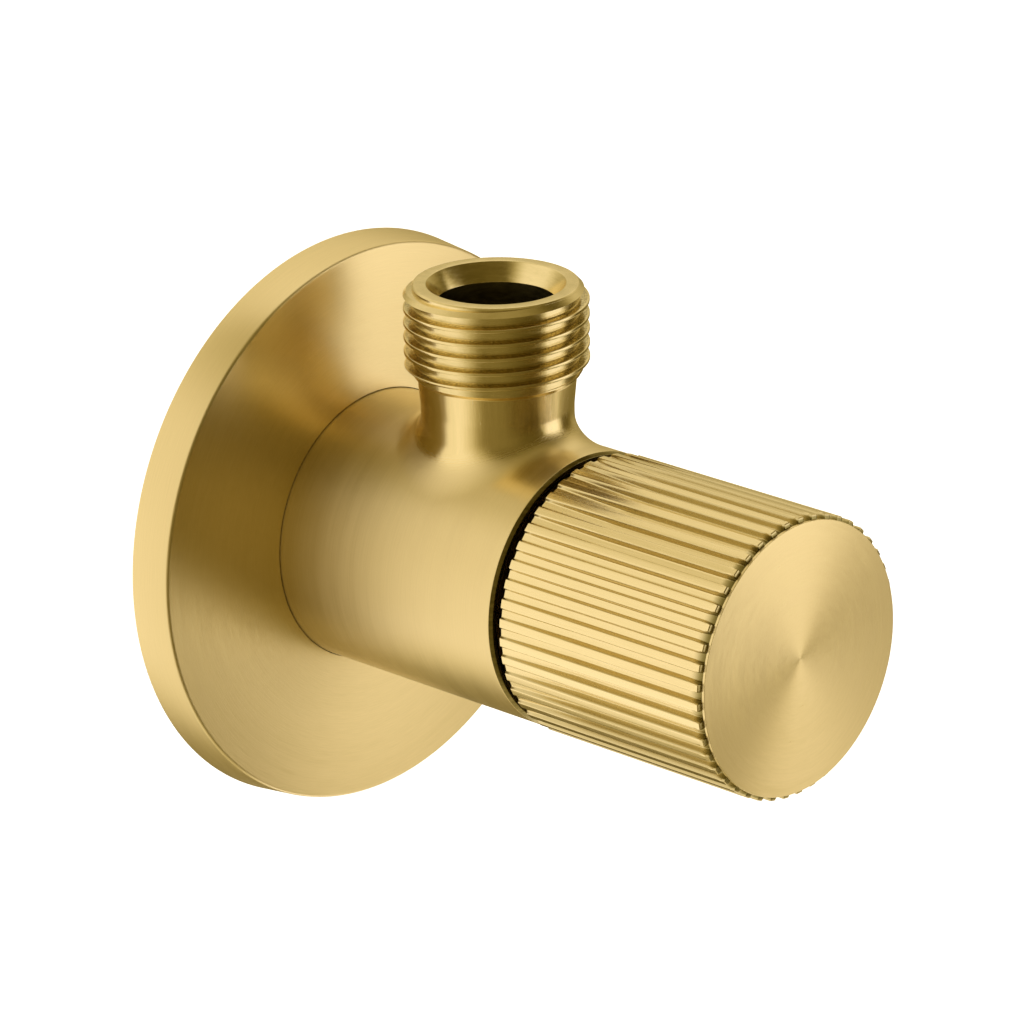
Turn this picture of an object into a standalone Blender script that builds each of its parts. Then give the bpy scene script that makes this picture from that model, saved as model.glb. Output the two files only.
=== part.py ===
"""Quarter-turn angle stop valve, G1/2 wall inlet and G3/8 outlet.

The origin is the centre of the wall plane on the valve's main axis.  World +Z is up along the outlet,
world +Y runs into the wall along the inlet spigot, and the handle points along -Y.  Pieces on the main
axis are drawn in the frame of an empty whose local Z is world -Y, so a local height is the distance
from the wall plane towards the front.  Driving dimensions are in millimetres.
"""

import math

import bmesh
import bpy
from mathutils import Vector

MM = 0.001
FULL_TURN = 2.0 * math.pi
MERGE = 0.00001

# Main tube of the valve body
TUBE_R = 12.72
TUBE_BACK = 0.5
TUBE_FRONT = 31.0
TUBE_EDGE = 0.4

# Inlet spigot with its G1/2 thread
INLET_END = -14.0
INLET_BORE_R = 6.0
INLET_CREST_R = 10.4775
INLET_ROOT_R = 9.316
INLET_PITCH = 1.814
INLET_RELIEF_R = 9.0
INLET_RELIEF_END = -1.0

# Waterway inside the body, with the counterbore that takes the housing's collar
SEAT = 10.0
CHAMBER_R = 9.3
CHAMBER_END = 24.0
FRONT_BORE_R = 10.45
COUNTERBORE_R = 12.0
COUNTERBORE_BACK = 30.0

# Outlet branch with its G3/8 thread; heights are world Z
OUTLET_S = 19.97
OUTLET_TOP = 26.51
OUTLET_FACE_R = 7.38
OUTLET_MOUTH_R = 6.27
OUTLET_BORE_R = 5.29
OUTLET_CONE_DEPTH = 1.68
OUTLET_CREST_R = 8.33
OUTLET_ROOT_R = 7.474
OUTLET_PITCH = 1.337
OUTLET_PHASE = math.radians(163.9)
OUTLET_PHASE_DEPTH = 2.1
OUTLET_THREAD_BOTTOM = 17.95
NECK_R = 6.98
NECK_FILLET = 2.4
NECK_FLARE_ANGLE = 82.0
NECK_FOOT_Z = 5.5

# Form of both threads: 55 degree flanks, crest truncation, facets of one turn
FLANK_ANGLE = math.radians(27.5)
THREAD_FILL = 0.9
FOOT_DEPTH = 0.12
BURIED_DEPTH = 0.4
END_CHAMFER = 0.4
THREAD_STEPS = 18

# Wall flange and its grip ring
FLANGE_BACK_R = 26.735
FLANGE_EDGE_R = 26.29
FLANGE_EDGE_S = 4.13
FLANGE_HUB_S = 4.58
FLANGE_WALL = 0.9
FLANGE_HOLE_R = 12.95
FLANGE_ROUND = 0.5
COLLAR_IN_R = 14.5
COLLAR_OUT_R = 15.3
COLLAR_BACK = 1.0
GRIP_IN_R = 13.0
GRIP_OUT_R = 14.25
GRIP_BACK = 1.5
GRIP_FRONT = 3.4
GRIP_ROUND = 0.4

# Cartridge housing
SKIRT_BACK = 10.7
SKIRT_OUT_R = 8.8
SKIRT_IN_R = 7.8
WINDOW_BACK = 18.3
WINDOW_FRONT = 20.8
WINDOW_WIDTH = 9.0
RACE_BACK = 21.1
RACE_FRONT = 24.5
HOUSING_THREAD_R = 10.2
HOUSING_THREAD_ROOT_R = 9.5
HOUSING_THREAD_BACK = 24.4
HOUSING_THREAD_FRONT = 27.9
HOUSING_PITCH = 1.3
HOUSING_CREST = 0.6
HOUSING_FLANK = 0.3
HOUSING_NECK_R = 10.0
HOUSING_RING_ROOT_R = 9.0
HOUSING_RING_FRONT = 29.7
HOUSING_COLLAR_R = 11.3
HOUSING_COLLAR_BACK = 30.25
HOUSING_COLLAR_FRONT = 30.9
HOUSING_NOSE_R = 8.2
HOUSING_FRONT = 35.7
HOUSING_GUIDE_R = 4.7
HEX_ACROSS_FLATS = 17.0
HEX_SETBACK = 0.6

# Discs, driver and stop
PORT_HALF_ANGLE = math.radians(38)
PORT_IN_R = 2.4
PORT_OUT_R = 6.2
FIXED_DISC = (12.2, 15.2)
FIXED_DISC_R = 7.5
MOVING_DISC = (15.4, 18.4)
MOVING_DISC_R = 7.3
NOTCH_DEPTH = 1.2
NOTCH_HALF_ANGLE = math.radians(17)
DRIVER_PLATE = (18.6, 20.9)
DRIVER_R = 7.2
DRIVER_PORT_IN_R = 2.9
DRIVER_DOG_BACK = 17.4
DOG_HALF_ANGLE = math.radians(14)
DOG_IN_R = 4.4
DOG_OUT_R = 6.6
TONGUE_WIDTH = 3.0
TONGUE_LENGTH = 9.0
TONGUE_BACK = 19.2
SLOT_CLEARANCE = 0.4
STOP_HALF_ANGLE = math.radians(22)
STOP_RIB_R = 5.8

# Stem
STEM_HEAD = (21.3, 23.4)
STEM_HEAD_R = 5.5
STEM_LUG_R = 7.5
STEM_R = 4.6
STEM_RING_ROOT_R = 3.5
STEM_RING_GROOVES = (26.5, 30.5)
STEM_RING_WIDTH = 1.8
CLIP_GROOVE = (36.0, 37.0)
CLIP_ROOT_R = 3.8
SPLINE_TEETH = 20
SPLINE_TIP_R = 4.0
SPLINE_ROOT_R = 3.6
SPLINE_BACK = 37.3
STEM_FRONT = 46.5
STEM_HOLE_R = 2.15
STEM_HOLE_BACK = 37.8
STEM_TURN = math.radians(4)
CLIP_OUT_R = 5.6
CLIP_GAP_HALF = math.radians(30)
RING_CLEARANCE = 0.15

# Seals and washers: mean and section radius, or inner and outer radius
HOUSING_O_RING = (9.68, 0.52)
STEM_O_RING = (4.1, 0.45)
CAP_O_RING = (9.2, 0.42)
SEAT_SEAL_R = (6.15, 7.5)
THRUST_WASHER_R = (4.8, 5.5)
LOCK_WASHER_R = (2.3, 3.7)
LOCK_WASHER_GAP = 0.5
LOCK_WASHER_SLANT = math.radians(20)
SEAL_CLEARANCE = 0.2

# Handle
RIB_COUNT = 45
RIB_TIP_R = 12.86
RIB_ROOT_R = 12.26
RIB_FOOT_HALF = math.radians(2.2)
RIB_TIP_HALF = math.radians(1.75)
KNOB_BACK = 32.17
KNOB_FRONT = 55.3
KNOB_RIM_R = 12.42
KNOB_CAVITY_R = 10.9
HUB_BACK = 37.8
HUB_R = 8.0
WEB_BACK = 47.8
WEB_FRONT = 50.4
WEB_HOLE_R = 2.35
RECESS_R = 9.8
ADAPTER_ACROSS_FLATS = 11.0
ADAPTER_CLEARANCE = 0.5
ADAPTER_BACK = 38.0
ADAPTER_FRONT = 47.5
ADAPTER_ROOF = 46.8
SPLINE_CLEARANCE = 0.15

# End cap, handle screw and small rings
CAP_R = 12.43
CAP_BACK = 55.55
CAP_FRONT = 55.96
CAP_EDGE = 0.12
SPIGOT_OUT_R = 9.5
SPIGOT_IN_R = 8.2
SPIGOT_BACK = 51.2
SPIGOT_FLOOR = 55.0
CAP_GROOVE = (52.6, 54.1)
CAP_GROOVE_R = 8.7
SCREW_HEAD = (51.5, 53.7)
SCREW_HEAD_R = 3.9
SCREW_R = 1.95
SCREW_END = 38.5
SCREW_TIP_CHAMFER = 0.5
CROSS_LENGTH = 4.2
CROSS_WIDTH = 0.9
CROSS_DEPTH = 1.4

GOLD = (0.78, 0.60, 0.27, 1.0)
RAW_BRASS = (0.72, 0.55, 0.26, 1.0)
RUBBER = (0.02, 0.02, 0.02, 1.0)
CERAMIC = (0.86, 0.84, 0.80, 1.0)
ACETAL = (0.80, 0.80, 0.78, 1.0)
STEEL = (0.56, 0.56, 0.57, 1.0)


def clear_scene():
    for obj in list(bpy.data.objects):
        bpy.data.objects.remove(obj, do_unlink=True)


def new_collection(name):
    group = bpy.data.collections.new(name)
    bpy.context.scene.collection.children.link(group)
    return group


def metal(name, colour, roughness, metallic):
    """A Principled material with the given colour, roughness and metallic value."""
    mat = bpy.data.materials.new(name)
    mat.use_nodes = True
    shader = mat.node_tree.nodes["Principled BSDF"]
    shader.inputs["Base Color"].default_value = colour
    shader.inputs["Roughness"].default_value = roughness
    shader.inputs["Metallic"].default_value = metallic
    return mat


clear_scene()
PARTS = new_collection("angle_stop_valve")
CUTTERS = new_collection("cutters")


def new_axis(name, location, rotation):
    """An empty that carries the pieces of one axis."""
    axis = bpy.data.objects.new(name, None)
    axis.location = location
    axis.rotation_euler = rotation
    PARTS.objects.link(axis)
    return axis


MAIN_AXIS = new_axis("main_axis", (0.0, 0.0, 0.0), (math.pi / 2.0, 0.0, 0.0))
HANDLE_AXIS = new_axis("handle_axis", (0.0, 0.0, 0.0), (math.pi / 2.0, 0.0, 0.0))
OUTLET_AXIS = new_axis("outlet_axis", (0.0, -OUTLET_S * MM, 0.0), (0.0, 0.0, 0.0))


def place(obj, parent, mat=None):
    """Put a visible piece in the parts collection, on its axis, with its material."""
    PARTS.objects.link(obj)
    obj.parent = parent
    if mat:
        obj.data.materials.append(mat)
    return obj


def place_tool(obj, parent):
    """Put a shape that only cuts or joins in the cutters collection."""
    CUTTERS.objects.link(obj)
    obj.parent = parent
    obj.hide_render = True
    obj.display_type = "WIRE"
    return obj


def smooth(obj):
    obj.data.shade_smooth()
    obj.data.set_sharp_from_angle(angle=math.radians(30))
    return obj


def turned(name, profile, segments=32, on_axis=False):
    """A body of revolution about local Z.

    The profile holds (radius, height) points and runs down its outer side.  With on_axis it starts and
    ends on the axis, otherwise it closes on itself.
    """
    points = [(radius * MM, 0.0, height * MM) for radius, height in profile]
    edges = [(i, i + 1) for i in range(len(points) - 1)]
    if not on_axis:
        edges.append((len(points) - 1, 0))
    mesh = bpy.data.meshes.new(name)
    mesh.from_pydata(points, edges, [])
    obj = bpy.data.objects.new(name, mesh)
    turn = obj.modifiers.new("turn", "SCREW")
    turn.steps = segments
    turn.render_steps = segments
    turn.use_merge_vertices = True
    turn.merge_threshold = MERGE
    turn.use_smooth_shade = True
    return obj


def rod(name, radius, low, high, segments=32):
    """A plain cylinder about local Z, as a turned profile."""
    return turned(name, [(0.0, high), (radius, high), (radius, low), (0.0, low)], segments, on_axis=True)


def ring(name, in_r, out_r, low, high, segments=32):
    """A ring of square section about local Z."""
    return turned(name, [(out_r, high), (out_r, low), (in_r, low), (in_r, high)], segments)


def prism(name, outline, low, high):
    """A flat outline of (x, y) points, extruded between two heights and made a mesh."""
    curve = bpy.data.curves.new(name, "CURVE")
    curve.dimensions = "2D"
    curve.fill_mode = "BOTH"
    curve.extrude = (high - low) / 2.0 * MM
    spline = curve.splines.new("POLY")
    spline.points.add(len(outline) - 1)
    for point, (x, y) in zip(spline.points, outline):
        point.co = (x * MM, y * MM, 0.0, 1.0)
    spline.use_cyclic_u = True
    drawn = bpy.data.objects.new(name + "_curve", curve)
    bpy.context.scene.collection.objects.link(drawn)
    drawn.location.z = (low + high) / 2.0 * MM
    bpy.context.view_layer.update()
    mesh = bpy.data.meshes.new_from_object(drawn.evaluated_get(bpy.context.evaluated_depsgraph_get()))
    weld(mesh)
    obj = bpy.data.objects.new(name, mesh)
    obj.matrix_world = drawn.matrix_world
    bpy.data.objects.remove(drawn, do_unlink=True)
    return obj


def weld(mesh):
    """Join the loose caps of a converted curve to its sides and turn its faces outwards."""
    work = bmesh.new()
    work.from_mesh(mesh)
    bmesh.ops.remove_doubles(work, verts=work.verts, dist=MERGE)
    bmesh.ops.recalc_face_normals(work, faces=work.faces)
    work.to_mesh(mesh)
    work.free()


def torus(name, major_r, minor_r, height):
    """A round seal ring about local Z."""
    bpy.ops.mesh.primitive_torus_add(
        major_radius=major_r * MM, minor_radius=minor_r * MM, major_segments=24, minor_segments=6)
    obj = bpy.context.active_object
    obj.name = name
    obj.data.name = name
    obj.location.z = height * MM
    for group in list(obj.users_collection):
        group.objects.unlink(obj)
    obj.data.shade_smooth()
    return obj


def block(name, size, centre):
    """A box of the given size, in millimetres, about its centre."""
    bpy.ops.mesh.primitive_cube_add(size=1.0)
    obj = bpy.context.active_object
    obj.name = name
    obj.data.name = name
    for corner in obj.data.vertices:
        corner.co = Vector([corner.co[i] * size[i] * MM for i in range(3)])
    obj.location = [value * MM for value in centre]
    for group in list(obj.users_collection):
        group.objects.unlink(obj)
    return obj


def combine(obj, tool, operation):
    """Cut, join or intersect a piece with a tool that already has its place."""
    step = obj.modifiers.new(tool.name, "BOOLEAN")
    step.operation = operation
    step.object = tool
    step.solver = "EXACT"
    return obj


def cut(obj, tool, parent):
    return combine(obj, place_tool(tool, parent), "DIFFERENCE")


def join(obj, tool, parent):
    return combine(obj, place_tool(tool, parent), "UNION")


def polar(radius, angle):
    return (radius * math.cos(angle), radius * math.sin(angle))


def arc(radius, start, end, steps):
    return [polar(radius, start + (end - start) * i / steps) for i in range(steps + 1)]


def hexagon(across_flats, turn=0.0):
    corner_r = across_flats / math.sqrt(3.0)
    return [polar(corner_r, turn + FULL_TURN * i / 6) for i in range(6)]


def sector(in_r, out_r, centre, half_angle, steps=6):
    """The outline of a ring sector, such as a disc's port."""
    outer = arc(out_r, centre - half_angle, centre + half_angle, steps)
    inner = arc(in_r, centre + half_angle, centre - half_angle, steps)
    return outer + inner


def lobed(base_r, lobe_r, centres, half_angle, steps=6):
    """A round outline of base_r whose radius changes to lobe_r within each lobe."""
    outline = []
    for index, centre in enumerate(centres):
        following = centres[(index + 1) % len(centres)]
        gap_end = following - half_angle + (FULL_TURN if following <= centre else 0.0)
        outline += arc(lobe_r, centre - half_angle, centre + half_angle, steps)
        outline += arc(base_r, centre + half_angle, gap_end, 2 * steps)
    return outline


def toothed(count, root_r, tip_r, foot_half, tip_half):
    """An outline of straight teeth round a circle."""
    outline = []
    for i in range(count):
        centre = FULL_TURN * i / count
        outline.append(polar(root_r, centre - foot_half))
        outline.append(polar(tip_r, centre - tip_half))
        outline.append(polar(tip_r, centre + tip_half))
        outline.append(polar(root_r, centre + foot_half))
    return outline


def spline_outline(growth):
    """The stem's serration, grown by a clearance for the hole that fits over it."""
    pitch = FULL_TURN / SPLINE_TEETH
    return toothed(SPLINE_TEETH, SPLINE_ROOT_R + growth, SPLINE_TIP_R + growth, 0.34 * pitch, 0.14 * pitch)


def thread_ridge(name, crest_r, root_r, pitch, low, high, phase, phase_height):
    """A helical ridge of a right-hand 55 degree pipe thread, closed at both ends.

    Its crest passes through phase_height at the angle phase, and its foot is sunk into the core.
    """
    foot_r = root_r - FOOT_DEPTH
    flank = (crest_r - foot_r) * math.tan(FLANK_ANGLE)
    crest_half = (pitch * THREAD_FILL - 2.0 * flank) / 2.0
    buried_r = root_r - BURIED_DEPTH
    turns = math.ceil((high - low) / pitch)
    start = phase_height - math.ceil((phase_height - low) / pitch) * pitch
    section = [(crest_r, crest_half), (crest_r, -crest_half), (foot_r, -crest_half - flank),
               (buried_r, -crest_half - flank), (buried_r, crest_half + flank), (foot_r, crest_half + flank)]
    ridge = turned(name + "_sweep", section, THREAD_STEPS)
    sweep = ridge.modifiers["turn"]
    sweep.screw_offset = pitch * MM
    sweep.iterations = turns
    sweep.use_merge_vertices = False
    bpy.context.scene.collection.objects.link(ridge)
    bpy.context.view_layer.update()
    mesh = bpy.data.meshes.new_from_object(ridge.evaluated_get(bpy.context.evaluated_depsgraph_get()))
    bpy.data.objects.remove(ridge, do_unlink=True)
    work = bmesh.new()
    work.from_mesh(mesh)
    bmesh.ops.remove_doubles(work, verts=work.verts, dist=MERGE)
    bmesh.ops.holes_fill(work, edges=[edge for edge in work.edges if edge.is_boundary], sides=0)
    bmesh.ops.recalc_face_normals(work, faces=work.faces)
    work.to_mesh(mesh)
    work.free()
    obj = bpy.data.objects.new(name, mesh)
    obj.location.z = start * MM
    obj.rotation_euler.z = phase
    return obj


def trimmed_ridge(ridge, envelope, parent):
    """A thread ridge trimmed to a chamfered envelope, ready to be joined to a body."""
    place_tool(ridge, parent)
    combine(ridge, place_tool(envelope, parent), "INTERSECT")
    return ridge


def neck_loft(name, steps=32, bend=5):
    """The outlet's neck, which flares in a saddle-shaped fillet onto the main tube."""
    rings = []
    angles = [FULL_TURN * i / steps for i in range(steps)]

    def saddle(radius, rise, angle):
        x, y = polar(radius, angle)
        return (x, y, math.sqrt(TUBE_R ** 2 - x ** 2) + rise)

    rings.append([polar(NECK_R, a) + (OUTLET_THREAD_BOTTOM + 0.4,) for a in angles])
    for i in range(bend + 1):
        bend_angle = math.radians(NECK_FLARE_ANGLE * i / bend)
        radius = NECK_R + NECK_FILLET * (1.0 - math.cos(bend_angle))
        rise = NECK_FILLET * (1.0 - math.sin(bend_angle)) - 0.08 * i / bend
        rings.append([saddle(radius, rise, a) for a in angles])
    rings.append([saddle(NECK_R + NECK_FILLET, -0.5, a) for a in angles])
    rings.append([polar(NECK_R, a) + (NECK_FOOT_Z,) for a in angles])
    work = bmesh.new()
    loops = [[work.verts.new([value * MM for value in point]) for point in loop] for loop in rings]
    for upper, lower in zip(loops, loops[1:]):
        for i in range(steps):
            j = (i + 1) % steps
            work.faces.new((upper[i], lower[i], lower[j], upper[j]))
    work.faces.new(loops[0])
    work.faces.new(loops[-1][::-1])
    bmesh.ops.recalc_face_normals(work, faces=work.faces)
    mesh = bpy.data.meshes.new(name)
    work.to_mesh(mesh)
    work.free()
    return bpy.data.objects.new(name, mesh)


def outlet_core():
    """The outlet's threaded end without its ridge: chamfered mouth, root cylinder, run-out cone."""
    core = turned("outlet_core", [
        (0.0, OUTLET_TOP), (OUTLET_FACE_R, OUTLET_TOP),
        (OUTLET_ROOT_R, OUTLET_TOP - OUTLET_ROOT_R + OUTLET_FACE_R),
        (OUTLET_ROOT_R, OUTLET_THREAD_BOTTOM + OUTLET_ROOT_R - NECK_R),
        (NECK_R, OUTLET_THREAD_BOTTOM), (0.0, OUTLET_THREAD_BOTTOM)], THREAD_STEPS, on_axis=True)
    core.rotation_euler.z = OUTLET_PHASE + 0.5 * FULL_TURN / THREAD_STEPS
    return core


def outlet_ridge():
    ridge = thread_ridge("outlet_ridge", OUTLET_CREST_R, OUTLET_ROOT_R, OUTLET_PITCH, 15.0, 27.8,
                         OUTLET_PHASE, OUTLET_TOP - OUTLET_PHASE_DEPTH)
    inside_r = OUTLET_ROOT_R - 1.0
    buried_r = OUTLET_ROOT_R - 0.25
    margin_r = OUTLET_CREST_R + 0.1
    top = OUTLET_TOP - 0.35
    bottom = OUTLET_THREAD_BOTTOM + OUTLET_ROOT_R - NECK_R - 0.1
    envelope = turned("outlet_envelope", [
        (inside_r, top), (OUTLET_ROOT_R, top), (margin_r, top - margin_r + OUTLET_ROOT_R),
        (margin_r, bottom + margin_r - buried_r), (buried_r, bottom), (inside_r, bottom)], 32)
    return trimmed_ridge(ridge, envelope, OUTLET_AXIS)


def inlet_ridge():
    ridge = thread_ridge("inlet_ridge", INLET_CREST_R, INLET_ROOT_R, INLET_PITCH, INLET_END - 2.0, 0.8,
                         math.radians(2.1), -3.0)
    end_r = INLET_ROOT_R - 0.35
    inside_r = INLET_ROOT_R - 1.0
    margin_r = INLET_CREST_R + 0.1
    rise = margin_r - end_r
    back = INLET_END + 0.3
    front = INLET_RELIEF_END - 0.5
    envelope = turned("inlet_envelope", [
        (inside_r, front), (end_r, front), (margin_r, front - rise), (margin_r, back + rise),
        (end_r, back), (inside_r, back)], 32)
    return trimmed_ridge(ridge, envelope, MAIN_AXIS)


def valve_body(mat):
    body = turned("valve_body", [
        (0.0, TUBE_FRONT), (TUBE_R - TUBE_EDGE, TUBE_FRONT), (TUBE_R, TUBE_FRONT - TUBE_EDGE),
        (TUBE_R, TUBE_BACK), (INLET_RELIEF_R, TUBE_BACK), (INLET_RELIEF_R, INLET_RELIEF_END),
        (INLET_ROOT_R, INLET_RELIEF_END - INLET_ROOT_R + INLET_RELIEF_R),
        (INLET_ROOT_R, INLET_END + END_CHAMFER), (INLET_ROOT_R - END_CHAMFER, INLET_END),
        (0.0, INLET_END)], 2 * THREAD_STEPS, on_axis=True)
    place(body, MAIN_AXIS, mat)
    join(body, neck_loft("neck"), OUTLET_AXIS)
    join(body, outlet_core(), OUTLET_AXIS)
    waterway = turned("waterway", [
        (0.0, TUBE_FRONT + 1.0), (COUNTERBORE_R, TUBE_FRONT + 1.0), (COUNTERBORE_R, COUNTERBORE_BACK),
        (FRONT_BORE_R, COUNTERBORE_BACK), (FRONT_BORE_R, CHAMBER_END), (CHAMBER_R, CHAMBER_END),
        (CHAMBER_R, SEAT), (INLET_BORE_R, SEAT), (INLET_BORE_R, INLET_END - 1.0),
        (0.0, INLET_END - 1.0)], 36, on_axis=True)
    waterway.rotation_euler.z = math.radians(3.3)
    cut(body, waterway, MAIN_AXIS)
    slope = (OUTLET_MOUTH_R - OUTLET_BORE_R) / OUTLET_CONE_DEPTH
    cut(body, turned("outlet_bore", [
        (0.0, OUTLET_TOP + 1.0), (OUTLET_MOUTH_R + slope, OUTLET_TOP + 1.0),
        (OUTLET_BORE_R, OUTLET_TOP - OUTLET_CONE_DEPTH), (OUTLET_BORE_R, 3.0), (0.0, 3.0)],
        32, on_axis=True), OUTLET_AXIS)
    combine(body, outlet_ridge(), "UNION")
    combine(body, inlet_ridge(), "UNION")
    return body


def wall_flange(mat):
    """A spun cover plate with a turned-back rim and a collar that holds the grip ring."""
    inside_r = FLANGE_BACK_R - FLANGE_WALL
    rim_in_r = FLANGE_EDGE_R - FLANGE_WALL
    return smooth(place(turned("wall_flange", [
        (FLANGE_HOLE_R, FLANGE_HUB_S), (FLANGE_EDGE_R - FLANGE_ROUND, FLANGE_EDGE_S),
        (FLANGE_EDGE_R - 0.15, FLANGE_EDGE_S - 0.15), (FLANGE_EDGE_R + 0.05, FLANGE_EDGE_S - FLANGE_ROUND),
        (FLANGE_BACK_R, 0.0), (inside_r, 0.0), (rim_in_r, FLANGE_EDGE_S - FLANGE_WALL),
        (COLLAR_OUT_R, FLANGE_HUB_S - FLANGE_WALL - 0.08), (COLLAR_OUT_R, COLLAR_BACK),
        (COLLAR_IN_R, COLLAR_BACK), (COLLAR_IN_R, FLANGE_HUB_S - FLANGE_WALL),
        (FLANGE_HOLE_R, FLANGE_HUB_S - FLANGE_WALL)], 48), MAIN_AXIS, mat))


def flange_grip_ring(mat):
    return smooth(place(turned("flange_grip_ring", [
        (GRIP_OUT_R - GRIP_ROUND, GRIP_FRONT), (GRIP_OUT_R, GRIP_FRONT - GRIP_ROUND),
        (GRIP_OUT_R, GRIP_BACK + GRIP_ROUND), (GRIP_OUT_R - GRIP_ROUND, GRIP_BACK),
        (GRIP_IN_R, GRIP_BACK), (GRIP_IN_R, GRIP_FRONT)], 24), MAIN_AXIS, mat))


def housing_profile():
    """The cartridge housing's outside, from its front end to the end of its skirt."""
    profile = [(0.0, HOUSING_FRONT), (HOUSING_NOSE_R, HOUSING_FRONT), (HOUSING_NOSE_R, HOUSING_COLLAR_FRONT),
               (HOUSING_COLLAR_R, HOUSING_COLLAR_FRONT), (HOUSING_COLLAR_R, HOUSING_COLLAR_BACK),
               (HOUSING_NECK_R, HOUSING_COLLAR_BACK), (HOUSING_NECK_R, HOUSING_RING_FRONT),
               (HOUSING_RING_ROOT_R, HOUSING_RING_FRONT), (HOUSING_RING_ROOT_R, HOUSING_THREAD_FRONT)]
    for i in range(2):
        crest_front = HOUSING_THREAD_FRONT - i * HOUSING_PITCH
        crest_back = crest_front - HOUSING_CREST
        profile.append((HOUSING_THREAD_R, crest_front))
        profile.append((HOUSING_THREAD_R, crest_back))
        profile.append((HOUSING_THREAD_ROOT_R, crest_back - HOUSING_FLANK))
        profile.append((HOUSING_THREAD_ROOT_R, crest_front - HOUSING_PITCH + HOUSING_FLANK))
    last_front = HOUSING_THREAD_FRONT - 2 * HOUSING_PITCH
    profile += [(HOUSING_THREAD_R, last_front), (HOUSING_THREAD_R, last_front - HOUSING_CREST),
                (SKIRT_OUT_R, HOUSING_THREAD_BACK - HOUSING_FLANK), (SKIRT_OUT_R, SKIRT_BACK),
                (0.0, SKIRT_BACK)]
    return profile


def cartridge_housing(mat):
    """Brass headwork housing with a 17 mm hexagon, stop ribs and two water windows."""
    housing = place(turned("cartridge_housing", housing_profile(), 24, on_axis=True), MAIN_AXIS, mat)
    join(housing, prism("housing_hex", hexagon(HEX_ACROSS_FLATS), HOUSING_COLLAR_FRONT - 0.2,
                        HOUSING_FRONT - HEX_SETBACK), MAIN_AXIS)
    cut(housing, rod("housing_cavity", SKIRT_IN_R, SKIRT_BACK - 1.0, RACE_BACK), MAIN_AXIS)
    rib_centres = [math.radians(135), math.radians(315)]
    race = lobed(SKIRT_IN_R, STOP_RIB_R, rib_centres, STOP_HALF_ANGLE)
    cut(housing, prism("stop_race", race, RACE_BACK - 0.3, RACE_FRONT), MAIN_AXIS)
    cut(housing, rod("stem_guide", HOUSING_GUIDE_R, RACE_FRONT - 0.5, HOUSING_FRONT + 1.0, 24), MAIN_AXIS)
    window_centre = (WINDOW_BACK + WINDOW_FRONT) / 2.0
    window_size = (WINDOW_WIDTH, 3.0 * SKIRT_OUT_R, WINDOW_FRONT - WINDOW_BACK)
    cut(housing, block("water_windows", window_size, (0.0, 0.0, window_centre)), MAIN_AXIS)
    return housing


def ported_disc(name, radius, heights, port_centre, in_r, axis, mat):
    """A round disc with two opposite sector ports."""
    disc = place(rod(name, radius, heights[0], heights[1], 32), axis, mat)
    for side in range(2):
        outline = sector(in_r, PORT_OUT_R, port_centre + side * math.pi, PORT_HALF_ANGLE)
        tool = prism(f"{name}_port_{side + 1}", outline, heights[0] - 1.0, heights[1] + 1.0)
        cut(disc, tool, axis)
    return disc


def moving_disc(mat):
    disc = ported_disc("moving_disc", MOVING_DISC_R, MOVING_DISC, 0.0, PORT_IN_R, HANDLE_AXIS, mat)
    for side in range(2):
        outline = sector(DOG_IN_R - 0.3, MOVING_DISC_R + 1.0, math.pi * (side + 0.5), NOTCH_HALF_ANGLE, 2)
        tool = prism(f"disc_notch_{side + 1}", outline, MOVING_DISC[1] - NOTCH_DEPTH, MOVING_DISC[1] + 1.0)
        cut(disc, tool, HANDLE_AXIS)
    return disc


def disc_driver(mat):
    """The carrier that turns the moving disc with two dogs and takes the stem's tongue in a slot."""
    driver = ported_disc("disc_driver", DRIVER_R, DRIVER_PLATE, 0.0, DRIVER_PORT_IN_R, HANDLE_AXIS, mat)
    for side in range(2):
        outline = sector(DOG_IN_R, DOG_OUT_R, math.pi * (side + 0.5), DOG_HALF_ANGLE, 2)
        dog = prism(f"driver_dog_{side + 1}", outline, DRIVER_DOG_BACK, DRIVER_PLATE[0] + 0.5)
        join(driver, dog, HANDLE_AXIS)
    slot_size = (TONGUE_WIDTH + SLOT_CLEARANCE, TONGUE_LENGTH + SLOT_CLEARANCE, 4.0)
    cut(driver, block("driver_slot", slot_size, (0.0, 0.0, TONGUE_BACK - 0.2 + 2.0)), HANDLE_AXIS)
    return driver


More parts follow.
